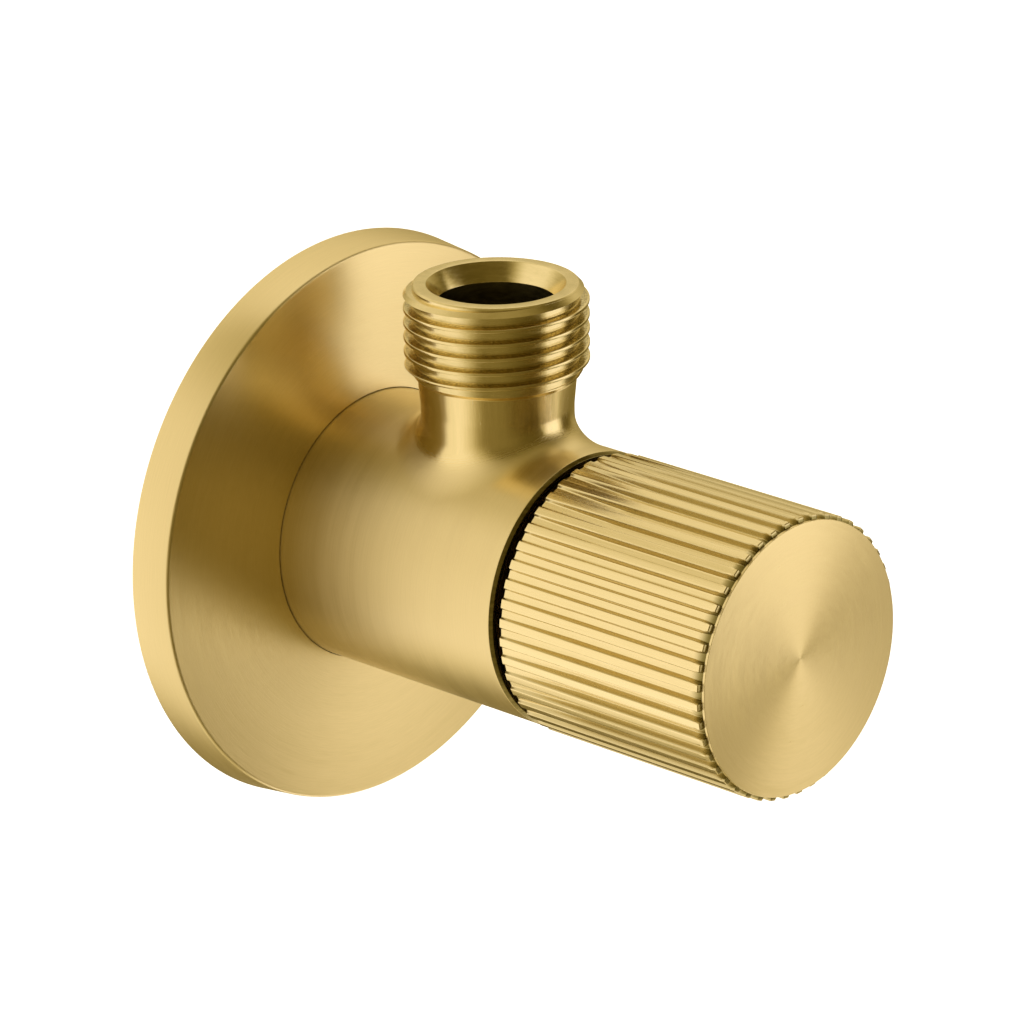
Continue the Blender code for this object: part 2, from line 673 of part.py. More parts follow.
def stem(mat):
    """The spindle: drive tongue, stop lugs, seal grooves, clip groove, serration and screw hole."""
    nose_r = SPLINE_ROOT_R - 0.1
    shoulder = CLIP_GROOVE[1] + 0.1
    profile = [(0.0, STEM_FRONT), (nose_r, STEM_FRONT), (nose_r, shoulder), (STEM_R, shoulder),
               (STEM_R, CLIP_GROOVE[1]), (CLIP_ROOT_R, CLIP_GROOVE[1]), (CLIP_ROOT_R, CLIP_GROOVE[0]),
               (STEM_R, CLIP_GROOVE[0])]
    for centre in reversed(STEM_RING_GROOVES):
        front = centre + STEM_RING_WIDTH / 2.0
        back = centre - STEM_RING_WIDTH / 2.0
        profile += [(STEM_R, front), (STEM_RING_ROOT_R, front), (STEM_RING_ROOT_R, back), (STEM_R, back)]
    profile += [(STEM_R, STEM_HEAD[0] + 0.5), (0.0, STEM_HEAD[0] + 0.5)]
    spindle = place(turned("stem", profile, 24, on_axis=True), HANDLE_AXIS, mat)
    spindle.rotation_euler.z = STEM_TURN
    head = lobed(STEM_HEAD_R, STEM_LUG_R, [0.0, math.pi], STOP_HALF_ANGLE)
    join(spindle, prism("stem_head", head, *STEM_HEAD), HANDLE_AXIS)
    tongue_size = (TONGUE_WIDTH, TONGUE_LENGTH, STEM_HEAD[0] - TONGUE_BACK + 0.9)
    tongue_centre = (0.0, 0.0, TONGUE_BACK + tongue_size[2] / 2.0)
    join(spindle, block("stem_tongue", tongue_size, tongue_centre), HANDLE_AXIS)
    join(spindle, prism("stem_serration", spline_outline(0.0), SPLINE_BACK, STEM_FRONT - 0.3), HANDLE_AXIS)
    cut(spindle, rod("stem_hole", STEM_HOLE_R, STEM_HOLE_BACK, STEM_FRONT + 1.0, 16), HANDLE_AXIS)
    return spindle


def stem_circlip(mat):
    """The retaining ring in the stem's groove, with its gap facing down."""
    low, high = CLIP_GROOVE
    clip = place(ring("stem_circlip", CLIP_ROOT_R + RING_CLEARANCE, CLIP_OUT_R, low + RING_CLEARANCE,
                      high - RING_CLEARANCE, 24), HANDLE_AXIS, mat)
    gap = sector(1.0, CLIP_OUT_R + 1.4, math.radians(270), CLIP_GAP_HALF, 2)
    cut(clip, prism("clip_gap", gap, low - 1.0, high + 1.0), HANDLE_AXIS)
    return clip


def handle_knob(mat):
    """The straight-ribbed grip, hollow from behind, with a hub for the adapter and a recess in front."""
    ribs = toothed(RIB_COUNT, RIB_ROOT_R, RIB_TIP_R, RIB_FOOT_HALF, RIB_TIP_HALF)
    knob = place(prism("handle_knob", ribs, KNOB_BACK, KNOB_FRONT), HANDLE_AXIS, mat)
    round_off = RIB_TIP_R - KNOB_RIM_R
    envelope = turned("knob_envelope", [
        (0.0, KNOB_FRONT + 1.0), (KNOB_RIM_R - 1.0, KNOB_FRONT + 1.0),
        (KNOB_RIM_R, KNOB_FRONT), (KNOB_RIM_R + 0.7 * round_off, KNOB_FRONT - 0.3 * round_off),
        (RIB_TIP_R + 0.3, KNOB_FRONT - 2.0 * round_off),
        (RIB_TIP_R + 0.3, KNOB_BACK - 1.0), (0.0, KNOB_BACK - 1.0)], 90, on_axis=True)
    combine(knob, place_tool(envelope, HANDLE_AXIS), "INTERSECT")
    cut(knob, turned("knob_cavity", [
        (0.0, HUB_BACK), (HUB_R, HUB_BACK), (HUB_R, WEB_BACK), (KNOB_CAVITY_R, WEB_BACK),
        (KNOB_CAVITY_R, KNOB_BACK - 1.0), (0.0, KNOB_BACK - 1.0)], 36, on_axis=True), HANDLE_AXIS)
    socket = hexagon(ADAPTER_ACROSS_FLATS + ADAPTER_CLEARANCE)
    cut(knob, prism("adapter_socket", socket, HUB_BACK - 1.0, WEB_BACK), HANDLE_AXIS)
    cut(knob, rod("knob_recess", RECESS_R, WEB_FRONT, KNOB_FRONT + 1.0, 36), HANDLE_AXIS)
    cut(knob, rod("web_hole", WEB_HOLE_R, WEB_BACK - 1.0, WEB_FRONT + 1.0, 16), HANDLE_AXIS)
    return knob


def spline_adapter(mat):
    """The hexagonal insert that carries the handle on the stem's serration."""
    insert = place(prism("spline_adapter", hexagon(ADAPTER_ACROSS_FLATS), ADAPTER_BACK, ADAPTER_FRONT),
                   HANDLE_AXIS, mat)
    serration = spline_outline(SPLINE_CLEARANCE)
    cut(insert, prism("adapter_serration", serration, ADAPTER_BACK - 1.0, ADAPTER_ROOF), HANDLE_AXIS)
    cut(insert, rod("adapter_hole", WEB_HOLE_R, ADAPTER_ROOF - 1.0, ADAPTER_FRONT + 1.0, 16), HANDLE_AXIS)
    return insert


def handle_end_cap(mat):
    """The turned end disc with the spigot that pushes into the knob's recess."""
    return smooth(place(turned("handle_end_cap", [
        (0.0, CAP_FRONT), (CAP_R - CAP_EDGE, CAP_FRONT), (CAP_R, CAP_FRONT - CAP_EDGE), (CAP_R, CAP_BACK),
        (SPIGOT_OUT_R, CAP_BACK), (SPIGOT_OUT_R, CAP_GROOVE[1]), (CAP_GROOVE_R, CAP_GROOVE[1]),
        (CAP_GROOVE_R, CAP_GROOVE[0]), (SPIGOT_OUT_R, CAP_GROOVE[0]), (SPIGOT_OUT_R, SPIGOT_BACK + 0.3),
        (SPIGOT_OUT_R - 0.3, SPIGOT_BACK), (SPIGOT_IN_R, SPIGOT_BACK), (SPIGOT_IN_R, SPIGOT_FLOOR),
        (0.0, SPIGOT_FLOOR)], 48, on_axis=True), HANDLE_AXIS, mat))


def handle_screw(mat):
    """A pan-head cross-recess machine screw."""
    low, high = SCREW_HEAD
    screw = place(turned("handle_screw", [
        (0.0, high), (2.4, high - 0.1), (3.5, high - 0.8), (SCREW_HEAD_R, high - 1.5), (SCREW_HEAD_R, low),
        (SCREW_R, low), (SCREW_R, SCREW_END + SCREW_TIP_CHAMFER),
        (SCREW_R - SCREW_TIP_CHAMFER, SCREW_END), (0.0, SCREW_END)], 24, on_axis=True), HANDLE_AXIS, mat)
    height = 4.0
    centre = (0.0, 0.0, high - CROSS_DEPTH + height / 2.0)
    cut(screw, block("cross_slot_wide", (CROSS_LENGTH, CROSS_WIDTH, height), centre), HANDLE_AXIS)
    cut(screw, block("cross_slot_tall", (CROSS_WIDTH, CROSS_LENGTH, height), centre), HANDLE_AXIS)
    return screw


def screw_lock_washer(mat):
    """A split spring washer under the screw's head."""
    washer = place(ring("screw_lock_washer", *LOCK_WASHER_R, WEB_FRONT + RING_CLEARANCE,
                        SCREW_HEAD[0] - RING_CLEARANCE, 24), HANDLE_AXIS, mat)
    middle = (WEB_FRONT + SCREW_HEAD[0]) / 2.0
    split = block("washer_split", (4.0, LOCK_WASHER_GAP, 4.0), (LOCK_WASHER_R[1] - 0.7, 0.0, middle))
    split.rotation_euler = (LOCK_WASHER_SLANT, 0.0, 0.0)
    cut(washer, split, HANDLE_AXIS)
    return washer


def build():
    gold_body = metal("brushed_gold_body", GOLD, 0.32, 1.0)
    gold_flange = metal("brushed_gold_flange", GOLD, 0.32, 1.0)
    gold_knob = metal("satin_gold_knob", GOLD, 0.22, 1.0)
    gold_cap = metal("spun_gold_cap", GOLD, 0.28, 1.0)
    brass = metal("plain_brass", RAW_BRASS, 0.35, 1.0)
    rubber = metal("black_rubber", RUBBER, 0.6, 0.0)
    ceramic = metal("white_ceramic", CERAMIC, 0.15, 0.0)
    acetal = metal("white_acetal", ACETAL, 0.4, 0.0)
    steel = metal("stainless_steel", STEEL, 0.3, 1.0)

    valve_body(gold_body)
    wall_flange(gold_flange)
    flange_grip_ring(rubber)

    cartridge_housing(brass)
    ring_centre = (HOUSING_THREAD_FRONT + HOUSING_RING_FRONT) / 2.0
    place(torus("housing_o_ring", *HOUSING_O_RING, ring_centre), MAIN_AXIS, rubber)
    seal_heights = (SEAT + SEAL_CLEARANCE, FIXED_DISC[0] - SEAL_CLEARANCE)
    place(ring("seat_seal", *SEAT_SEAL_R, *seal_heights), MAIN_AXIS, rubber)
    ported_disc("fixed_disc", FIXED_DISC_R, FIXED_DISC, math.pi / 2.0, PORT_IN_R, MAIN_AXIS, ceramic)

    moving_disc(ceramic)
    disc_driver(acetal)
    stem(brass)
    place(torus("stem_o_ring_lower", *STEM_O_RING, STEM_RING_GROOVES[0]), HANDLE_AXIS, rubber)
    place(torus("stem_o_ring_upper", *STEM_O_RING, STEM_RING_GROOVES[1]), HANDLE_AXIS, rubber)
    washer_heights = (STEM_HEAD[1] + SEAL_CLEARANCE, RACE_FRONT - SEAL_CLEARANCE)
    place(ring("thrust_washer", *THRUST_WASHER_R, *washer_heights), HANDLE_AXIS, acetal)
    stem_circlip(steel)

    handle_knob(gold_knob)
    spline_adapter(acetal)
    handle_screw(steel)
    screw_lock_washer(steel)
    handle_end_cap(gold_cap)
    place(torus("cap_o_ring", *CAP_O_RING, sum(CAP_GROOVE) / 2.0), HANDLE_AXIS, rubber)


build()
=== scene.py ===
"""The looks of a brushed gold angle stop valve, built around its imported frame.

Shapes are worked out in millimetres in the frame's axes: X right, Y into the wall, Z up.  A height s is
a distance from the wall plane towards the front along the main axis, so s = -y.
"""

import math

import bmesh
import bpy
import numpy as np
from mathutils import Matrix, Vector


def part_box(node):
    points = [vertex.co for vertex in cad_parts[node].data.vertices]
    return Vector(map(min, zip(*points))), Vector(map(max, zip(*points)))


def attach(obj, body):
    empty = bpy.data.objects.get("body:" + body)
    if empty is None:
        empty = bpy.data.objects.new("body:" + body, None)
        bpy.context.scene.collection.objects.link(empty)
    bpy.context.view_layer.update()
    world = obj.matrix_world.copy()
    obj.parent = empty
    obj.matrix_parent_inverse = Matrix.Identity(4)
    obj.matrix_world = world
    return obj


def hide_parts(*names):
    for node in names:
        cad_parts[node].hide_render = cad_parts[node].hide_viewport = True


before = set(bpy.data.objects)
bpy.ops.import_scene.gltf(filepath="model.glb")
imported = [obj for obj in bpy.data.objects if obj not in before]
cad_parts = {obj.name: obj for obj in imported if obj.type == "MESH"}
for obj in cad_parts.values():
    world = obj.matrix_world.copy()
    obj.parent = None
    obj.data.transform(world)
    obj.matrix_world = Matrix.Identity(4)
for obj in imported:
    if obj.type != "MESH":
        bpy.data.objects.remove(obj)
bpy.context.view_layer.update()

MM = 0.001
FULL_TURN = 2.0 * math.pi
SHARP_ANGLE = math.radians(32)


def node_box_mm(name):
    """A CAD node's lowest and highest corners in millimetres."""
    low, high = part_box(name)
    return low / MM, high / MM


BODY_HIGH = node_box_mm("valve_body")[1]
FLANGE_LOW, FLANGE_HIGH = node_box_mm("wall_flange")
KNOB_HIGH = node_box_mm("handle_knob")[1]
CAP_LOW, CAP_HIGH = node_box_mm("handle_end_cap")

# Main tube
TUBE_R = BODY_HIGH.x
TUBE_BACK = 0.5
TUBE_FRONT = 31.0
TUBE_EDGE = 0.28

# Outlet branch
OUTLET_S = 19.97
OUTLET_TOP = BODY_HIGH.z
OUTLET_FACE_R = 7.38
OUTLET_MOUTH_R = 6.27
OUTLET_BORE_R = 5.29
OUTLET_CONE_DEPTH = 1.68
OUTLET_CREST_R = 8.33
OUTLET_ROOT_R = 7.52
OUTLET_PITCH = 1.337
OUTLET_PHASE = math.radians(163.9)
OUTLET_PHASE_DEPTH = 2.1
OUTLET_THREAD_BOTTOM = 17.95
OUTLET_CREST_HALF = 0.14
OUTLET_CREST_EASE = 0.07
OUTLET_UPPER_FLANK = 0.16
OUTLET_LOWER_FLANK = 0.26
OUTLET_SWEEP = (15.0, 28.0)
NECK_TOP_R = 7.15
NECK_R = 6.9
NECK_TAPER_Z = 15.2
NECK_FILLET = 2.4
OUTLET_BLIND_Z = 7.0

# Inlet spigot
INLET_END = -BODY_HIGH.y
INLET_BORE_R = 6.0
INLET_CREST_R = 10.4775
INLET_ROOT_R = 9.316
INLET_PITCH = 1.814
INLET_PHASE = math.radians(2.1)
INLET_PHASE_S = -3.0
INLET_CREST_HALF = 0.12
INLET_CREST_EASE = 0.18
INLET_FLANK_ANGLE = math.radians(27.5)
INLET_SWEEP = (INLET_END - 2.0, 0.8)
INLET_RELIEF_R = 9.0
INLET_RELIEF_END = -1.0

# How deep a thread ridge's foot is sunk into its core, how far inside the root the envelope that trims it
# begins, and how far past the crest it reaches
THREAD_SUNK = 0.1
ENVELOPE_DEPTH = 1.0
ENVELOPE_MARGIN = 0.1

# Waterway
SEAT = 10.0
CHAMBER_R = 9.3
CHAMBER_END = 24.0
FRONT_BORE_R = 10.45
COUNTERBORE_R = 12.0
COUNTERBORE_BACK = 30.0

# How far a cutting tool reaches past the surface it opens
PAST = 1.0

# Fineness of the body's grid
SADDLE_STEPS = 40
SADDLE_STEP = math.radians(45.0 / SADDLE_STEPS)
SADDLE_HALF = 10.2
FILLET_STEPS = 14
REST_COLUMNS = 128
RIDGE_STEPS = 240

# Handle: the ribs, and how the grooves between them run out behind and in front
RIB_COUNT = 45
RIB_TIP_R = 12.86
RIB_ROOT_R = 12.26
RIM_R = 12.44
RIM_S = 55.66
END_LIP = 0.3
BACK_EASE = 0.05
BACK_FLOOR_R = 12.62
BACK_SCOOP = 9.0
BACK_BEND = 1.3
FRONT_FLOOR_R = 11.86
FRONT_SCOOP = 1.3
FRONT_BEND = 1.6
FRONT_ROUND = 0.17
FRONT_PINCH = 7.0

# Inside the handle: skirt, hub with its socket, web with its screw hole, and recess for the end disc
KNOB_BACK = -KNOB_HIGH.y
SKIRT_IN_R = 10.9
SKIRT_LEAD_R = 11.5
HUB_R = 8.0
HUB_BACK = 37.8
SOCKET_FLATS = 11.5
WEB_BACK = 47.8
WEB_FRONT = 50.4
WEB_HOLE_R = 2.35
WEB_HOLE_ENDS = (46.0, 52.0)
RECESS_R = 9.8

# End disc and the spigot behind it
CAP_R = CAP_HIGH.x
CAP_BACK = 55.69
CAP_FRONT = -CAP_LOW.y
SPIGOT_R = 9.5
SPIGOT_BACK = 51.2
SPIGOT_GROOVE_R = 8.7
SPIGOT_GROOVE = (52.6, 54.1)
SPIGOT_HOLLOW_R = 8.2
SPIGOT_HOLLOW_FRONT = 55.0

# Wall flange: its rim, its gently sloping face, its hole and the collar behind it
FLANGE_BACK_R = FLANGE_HIGH.x
FLANGE_EDGE_R = 26.29
FLANGE_EDGE_S = 4.13
FLANGE_HUB_S = -FLANGE_LOW.y
FLANGE_FACE_R = 20.0
FLANGE_FACE_S = 4.37
FLANGE_WALL = 0.9
FLANGE_HOLE_R = 12.79
FLANGE_HOLE_S = 4.2
COLLAR_OUT_R = 15.3
COLLAR_IN_R = 14.5
COLLAR_BACK = 1.0


# ---------------------------------------------------------------- mesh tools

def about_main(radius, angle, s):
    """A point on the main axis frame: angle from +X towards +Z."""
    return np.stack([radius * np.cos(angle), -s + 0.0 * angle, radius * np.sin(angle)], -1)


def about_outlet(radius, angle, z):
    """A point about the outlet's axis: angle from +X towards +Y."""
    return np.stack([radius * np.cos(angle), -OUTLET_S + radius * np.sin(angle), z + 0.0 * angle], -1)


class Skin:
    """Points and faces of one closed mesh, gathered loop by loop, in millimetres."""

    def __init__(self):
        self.points = []
        self.faces = []
        self.count = 0

    def add(self, points):
        """Add points and return their numbers."""
        points = np.atleast_2d(np.asarray(points, float))
        self.points.append(points)
        self.count += len(points)
        return np.arange(self.count - len(points), self.count)

    def bridge(self, upper, lower):
        """Join two closed loops; a loop of one point makes a fan."""
        if len(upper) == 1:
            upper, lower = lower, upper
        ahead = np.roll(upper, -1)
        if len(lower) == 1:
            pole = np.full(len(upper), lower[0])
            self.faces += np.stack([upper, pole, ahead], 1).tolist()
        else:
            self.faces += np.stack([upper, lower, np.roll(lower, -1), ahead], 1).tolist()

    def piece(self, name):
        """The gathered mesh as an object in metres, with its faces turned outwards."""
        mesh = bpy.data.meshes.new(name)
        mesh.from_pydata((np.concatenate(self.points) * MM).tolist(), [], self.faces)
        work = bmesh.new()
        work.from_mesh(mesh)
        bmesh.ops.recalc_face_normals(work, faces=work.faces)
        work.to_mesh(mesh)
        work.free()
        obj = bpy.data.objects.new(name, mesh)
        bpy.context.scene.collection.objects.link(obj)
        return obj


def rounded(corners, steps=4):
    """A profile from (radius, height, rounding) corners, each corner eased by a short curve."""
    points = []
    last = len(corners) - 1
    for i, (radius, height, ease) in enumerate(corners):
        corner = np.array([radius, height])
        if ease == 0.0 or i in (0, last):
            points.append(corner)
            continue
        sides = [np.array(corners[i + step][:2]) - corner for step in (-1, 1)]
        reach = min([ease] + [0.48 * np.linalg.norm(side) for side in sides])
        start, end = [corner + side / np.linalg.norm(side) * reach for side in sides]
        for t in np.linspace(0.0, 1.0, steps + 1):
            points.append((1 - t) ** 2 * start + 2 * t * (1 - t) * corner + t ** 2 * end)
    return [(float(r), float(h)) for r, h in points]


def turned(name, profile, segments=192, about=about_main, closed=False):
    """A body of revolution from (radius, height) points; a radius of zero is a pole."""
    skin = Skin()
    angles = np.arange(segments) * FULL_TURN / segments
    loops = []
    for radius, height in profile:
        ring_angles = angles if radius > 0.0 else angles[:1]
        loops.append(skin.add(about(radius, ring_angles, height)))
    for upper, lower in zip(loops, loops[1:]):
        skin.bridge(upper, lower)
    if closed:
        skin.bridge(loops[-1], loops[0])
    return skin.piece(name)


def prism(name, outline, low, high):
    """A flat outline of (x, height across) points about the main axis, between two depths."""
    skin = Skin()
    outline = np.asarray(outline, float)
    loops = []
    for s in (low, high):
        loops.append(skin.add(np.stack([outline[:, 0], np.full(len(outline), -s), outline[:, 1]], 1)))
    skin.bridge(*loops)
    skin.faces += [loops[0].tolist(), loops[1].tolist()]
    return skin.piece(name)


def ridge(name, section, pitch, low, high, phase, phase_height, about):
    """A helical thread ridge: a closed section of (radius, height) points swept up a right-hand helix."""
    turns_down = math.ceil((phase_height - low) / pitch)
    turns = turns_down + math.ceil((high - phase_height) / pitch)
    skin = Skin()
    loops = []
    for k in range(turns * RIDGE_STEPS + 1):
        angle = phase + FULL_TURN * k / RIDGE_STEPS
        height = phase_height + (k / RIDGE_STEPS - turns_down) * pitch
        loops.append(skin.add([about(r, np.array(angle), h + height) for r, h in section]))
    for upper, lower in zip(loops, loops[1:]):
        skin.bridge(upper, lower)
    skin.faces += [loops[0].tolist(), loops[-1].tolist()]
    return skin.piece(name)


def combined(base, tool, operation):
    """Join, cut or trim a closed piece with another closed piece, which is used up."""
    step = base.modifiers.new(tool.name, "BOOLEAN")
    step.operation = operation
    step.object = tool
    step.solver = "MANIFOLD"
    bpy.context.view_layer.update()
    mesh = bpy.data.meshes.new_from_object(base.evaluated_get(bpy.context.evaluated_depsgraph_get()))
    base.modifiers.clear()
    base.data = mesh
    bpy.data.objects.remove(tool, do_unlink=True)
    return base


def shade(obj):
    """Smooth shading, with every edge sharper than SHARP_ANGLE kept crisp."""
    obj.data.shade_smooth()
    obj.data.set_sharp_from_angle(angle=SHARP_ANGLE)


def finish_piece(obj, body, nodes, materials):
    """Give a piece its materials and its place in the frame."""
    obj.data.materials.clear()
    for material in materials:
        obj.data.materials.append(material)
    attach(obj, body)
    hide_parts(*nodes)


# ---------------------------------------------------------------- valve body

def tube_height(x):
    """How high the tube's top surface stands above its axis at x."""
    return np.sqrt(TUBE_R ** 2 - x ** 2)


def saddle_lines():
    """Where the saddle's grid lines lie about the outlet's axis, at even angles as seen from it."""
    return SADDLE_HALF * np.tan(np.arange(-SADDLE_STEPS, SADDLE_STEPS + 1) * SADDLE_STEP)


def body_columns():
    """Angles of the tube's grid lines: fine across the saddle, even round the rest."""
    saddle = math.pi / 2.0 - np.arcsin(saddle_lines() / TUBE_R)
    edge = saddle[0]
    rest = np.linspace(edge, edge + FULL_TURN - (saddle[0] - saddle[-1]), REST_COLUMNS + 1)[1:-1]
    return np.concatenate([saddle[::-1], rest])


def body_rows():
    """Depths of the tube's grid lines across the saddle, from back to front."""
    return OUTLET_S + saddle_lines()


def branch_profile():
    """The outlet from its neck to its blind bore: (radius, height) points above the fillet."""
    outer = rounded([
        (NECK_R, NECK_TAPER_Z - 0.4, 0.0), (NECK_R, NECK_TAPER_Z, 0.8),
        (NECK_TOP_R, OUTLET_THREAD_BOTTOM - 0.1, 0.1), (OUTLET_ROOT_R, OUTLET_THREAD_BOTTOM + 0.25, 0.0)], 5)
    top = rounded([
        (OUTLET_ROOT_R, OUTLET_TOP - OUTLET_ROOT_R + OUTLET_FACE_R, 0.0), (OUTLET_FACE_R, OUTLET_TOP, 0.05),
        (OUTLET_MOUTH_R, OUTLET_TOP, 0.06), (OUTLET_BORE_R, OUTLET_TOP - OUTLET_CONE_DEPTH, 0.05),
        (OUTLET_BORE_R, OUTLET_BLIND_Z, 0.0), (0.0, OUTLET_BLIND_Z, 0.0)])
    return outer[1:] + top


def body_skin():
    """The tube with its saddle, neck and unthreaded spigot, closed at every opening."""
    skin = Skin()
    columns = body_columns()
    rows = body_rows()
    window = 2 * SADDLE_STEPS
    numbers = np.full((len(rows), len(columns)), -1)
    for j, s in enumerate(rows):
        ring = about_main(TUBE_R, columns, s)
        inside = (np.arange(len(columns)) > 0) & (np.arange(len(columns)) < window)
        keep = ~inside if 0 < j < len(rows) - 1 else np.ones(len(columns), bool)
        numbers[j, keep] = skin.add(ring[keep])
    for j in range(len(rows) - 1):
        for c in range(window, len(columns)):
            d = (c + 1) % len(columns)
            skin.faces.append([numbers[j, c], numbers[j + 1, c], numbers[j + 1, d], numbers[j, d]])

    def lathe(start, profile):
        loop = start
        for radius, s in profile:
            angles = columns if radius > 0.0 else columns[:1]
            following = skin.add(about_main(radius, angles, s))
            skin.bridge(loop, following)
            loop = following

    front = rounded([
        (TUBE_R, rows[-1], 0.0), (TUBE_R, TUBE_FRONT - TUBE_EDGE, 0.05),
        (TUBE_R - TUBE_EDGE, TUBE_FRONT, 0.03), (FRONT_BORE_R - PAST, TUBE_FRONT, 0.0),
        (0.0, TUBE_FRONT, 0.0)])
    back = rounded([
        (TUBE_R, rows[0], 0.0), (TUBE_R, TUBE_BACK, 0.15), (INLET_RELIEF_R, TUBE_BACK, 0.1),
        (INLET_RELIEF_R, INLET_RELIEF_END, 0.1), (INLET_ROOT_R, INLET_RELIEF_END - 0.3, 0.0),
        (INLET_ROOT_R, INLET_END + 0.4, 0.05), (INLET_ROOT_R - 0.4, INLET_END, 0.05),
        (INLET_BORE_R - PAST, INLET_END, 0.0), (0.0, INLET_END, 0.0)])
    lathe(numbers[-1], front[1:])
    lathe(numbers[0], back[1:])

    around = 8 * SADDLE_STEPS
    angles = np.arange(around) * FULL_TURN / around
    reach = SADDLE_HALF / np.maximum(np.abs(np.cos(angles)), np.abs(np.sin(angles)))
    across = np.rint(np.arctan(reach * np.cos(angles) / SADDLE_HALF) / SADDLE_STEP).astype(int)
    along = np.rint(np.arctan(reach * np.sin(angles) / SADDLE_HALF) / SADDLE_STEP).astype(int)
    loop = numbers[SADDLE_STEPS - along, SADDLE_STEPS - across]

    def saddle_loop(radius, rise):
        x = radius * np.cos(angles)
        return np.stack([x, -OUTLET_S + radius * np.sin(angles), tube_height(x) + rise], 1)

    foot_r = NECK_R + NECK_FILLET
    for t in np.linspace(0.0, 1.0, 7)[1:-1]:
        following = skin.add(saddle_loop(reach + (foot_r - reach) * t, 0.0))
        skin.bridge(loop, following)
        loop = following
    for t in np.linspace(math.pi / 2.0, 0.0, FILLET_STEPS + 1):
        radius = NECK_R + NECK_FILLET * (1.0 - math.cos(t))
        following = skin.add(saddle_loop(np.full(around, radius), NECK_FILLET * (1.0 - math.sin(t))))
        skin.bridge(loop, following)
        loop = following
    profile = branch_profile()
    low_loop = skin.points[-1]
    for t in (0.33, 0.66):
        points = low_loop.copy()
        points[:, 2] += (profile[0][1] - points[:, 2]) * t
        following = skin.add(points)
        skin.bridge(loop, following)
        loop = following
    for radius, z in profile:
        ring_angles = angles if radius > 0.0 else angles[:1]
        following = skin.add(about_outlet(radius, ring_angles, z))
        skin.bridge(loop, following)
        loop = following
    return skin.piece("body_casting")


def ridge_section(crest_r, foot_r, crest_half, upper_flank, lower_flank, ease):
    """A thread ridge's section with eased crest corners; its foot is sunk into the core."""
    return rounded([
        (foot_r, -crest_half - lower_flank, 0.0),
        (crest_r, -crest_half, ease), (crest_r, crest_half, ease),
        (foot_r, upper_flank + crest_half, 0.0)])


def outlet_thread():
    """The outlet's narrow-crested thread ridge, trimmed by a chamfer at both ends."""
    section = ridge_section(OUTLET_CREST_R, OUTLET_ROOT_R - THREAD_SUNK, OUTLET_CREST_HALF,
                            OUTLET_UPPER_FLANK, OUTLET_LOWER_FLANK, OUTLET_CREST_EASE)
    piece = ridge("outlet_thread", section, OUTLET_PITCH, *OUTLET_SWEEP,
                  OUTLET_PHASE, OUTLET_TOP - OUTLET_PHASE_DEPTH, about_outlet)
    inside_r = OUTLET_ROOT_R - ENVELOPE_DEPTH
    margin_r = OUTLET_CREST_R + ENVELOPE_MARGIN
    top = OUTLET_TOP - 0.01
    bottom = OUTLET_THREAD_BOTTOM
    envelope = turned("outlet_envelope", [
        (inside_r, top), (OUTLET_FACE_R, top), (margin_r, top - margin_r + OUTLET_FACE_R),
        (margin_r, bottom + margin_r - NECK_TOP_R), (NECK_TOP_R, bottom), (inside_r, bottom)],
        256, about_outlet, closed=True)
    return combined(piece, envelope, "INTERSECT")


def inlet_thread():
    """The inlet spigot's pipe thread ridge, trimmed by a chamfer at both ends."""
    flank = (INLET_CREST_R - INLET_ROOT_R + THREAD_SUNK) * math.tan(INLET_FLANK_ANGLE)
    section = ridge_section(INLET_CREST_R, INLET_ROOT_R - THREAD_SUNK, INLET_CREST_HALF, flank, flank,
                            INLET_CREST_EASE)
    piece = ridge("inlet_thread", section, INLET_PITCH, *INLET_SWEEP, INLET_PHASE, INLET_PHASE_S, about_main)
    end_r = INLET_ROOT_R - 0.2
    inside_r = INLET_ROOT_R - ENVELOPE_DEPTH
    margin_r = INLET_CREST_R + ENVELOPE_MARGIN
    rise = margin_r - end_r
    back = INLET_END + 0.1
    front = INLET_RELIEF_END - 0.4
    envelope = turned("inlet_envelope", [
        (inside_r, front), (end_r, front), (margin_r, front - rise), (margin_r, back + rise),
        (end_r, back), (inside_r, back)], 256, closed=True)
    return combined(piece, envelope, "INTERSECT")


def waterway():
    """The space cut out of the body: counterbore, cartridge chamber and inlet bore."""
    profile = rounded([
        (0.0, TUBE_FRONT + PAST, 0.0), (COUNTERBORE_R + PAST + 0.1, TUBE_FRONT + PAST, 0.0),
        (COUNTERBORE_R, TUBE_FRONT - 0.1, 0.05), (COUNTERBORE_R, COUNTERBORE_BACK, 0.1),
        (FRONT_BORE_R, COUNTERBORE_BACK, 0.1), (FRONT_BORE_R, CHAMBER_END, 0.0),
        (CHAMBER_R, CHAMBER_END, 0.0), (CHAMBER_R, SEAT, 0.3), (INLET_BORE_R, SEAT, 0.1),
        (INLET_BORE_R, INLET_END + 0.5, 0.0), (INLET_BORE_R + PAST + 0.5, INLET_END - PAST, 0.0),
        (0.0, INLET_END - PAST, 0.0)])
    return turned("waterway", profile, 180)


def body_finish(x, y, z):
    """Which material covers a place on the body: 0 tube and neck, 1 thread, 2 front edge, 3 bores; 2 and 3
    are darkened as painted shade.
    """
    from_main = math.hypot(x, z)
    from_outlet = math.hypot(x, y + OUTLET_S)
    if from_outlet < OUTLET_BORE_R + 0.05 and 0.0 < z < OUTLET_TOP - OUTLET_CONE_DEPTH:
        return 3
    if z > OUTLET_THREAD_BOTTOM - 0.1 or y > -TUBE_BACK - 0.2:
        return 1
    if from_main < COUNTERBORE_R + 0.1:
        return 3
    return 2 if from_main < TUBE_R - 0.02 and y < -TUBE_FRONT + TUBE_EDGE + 0.1 else 0


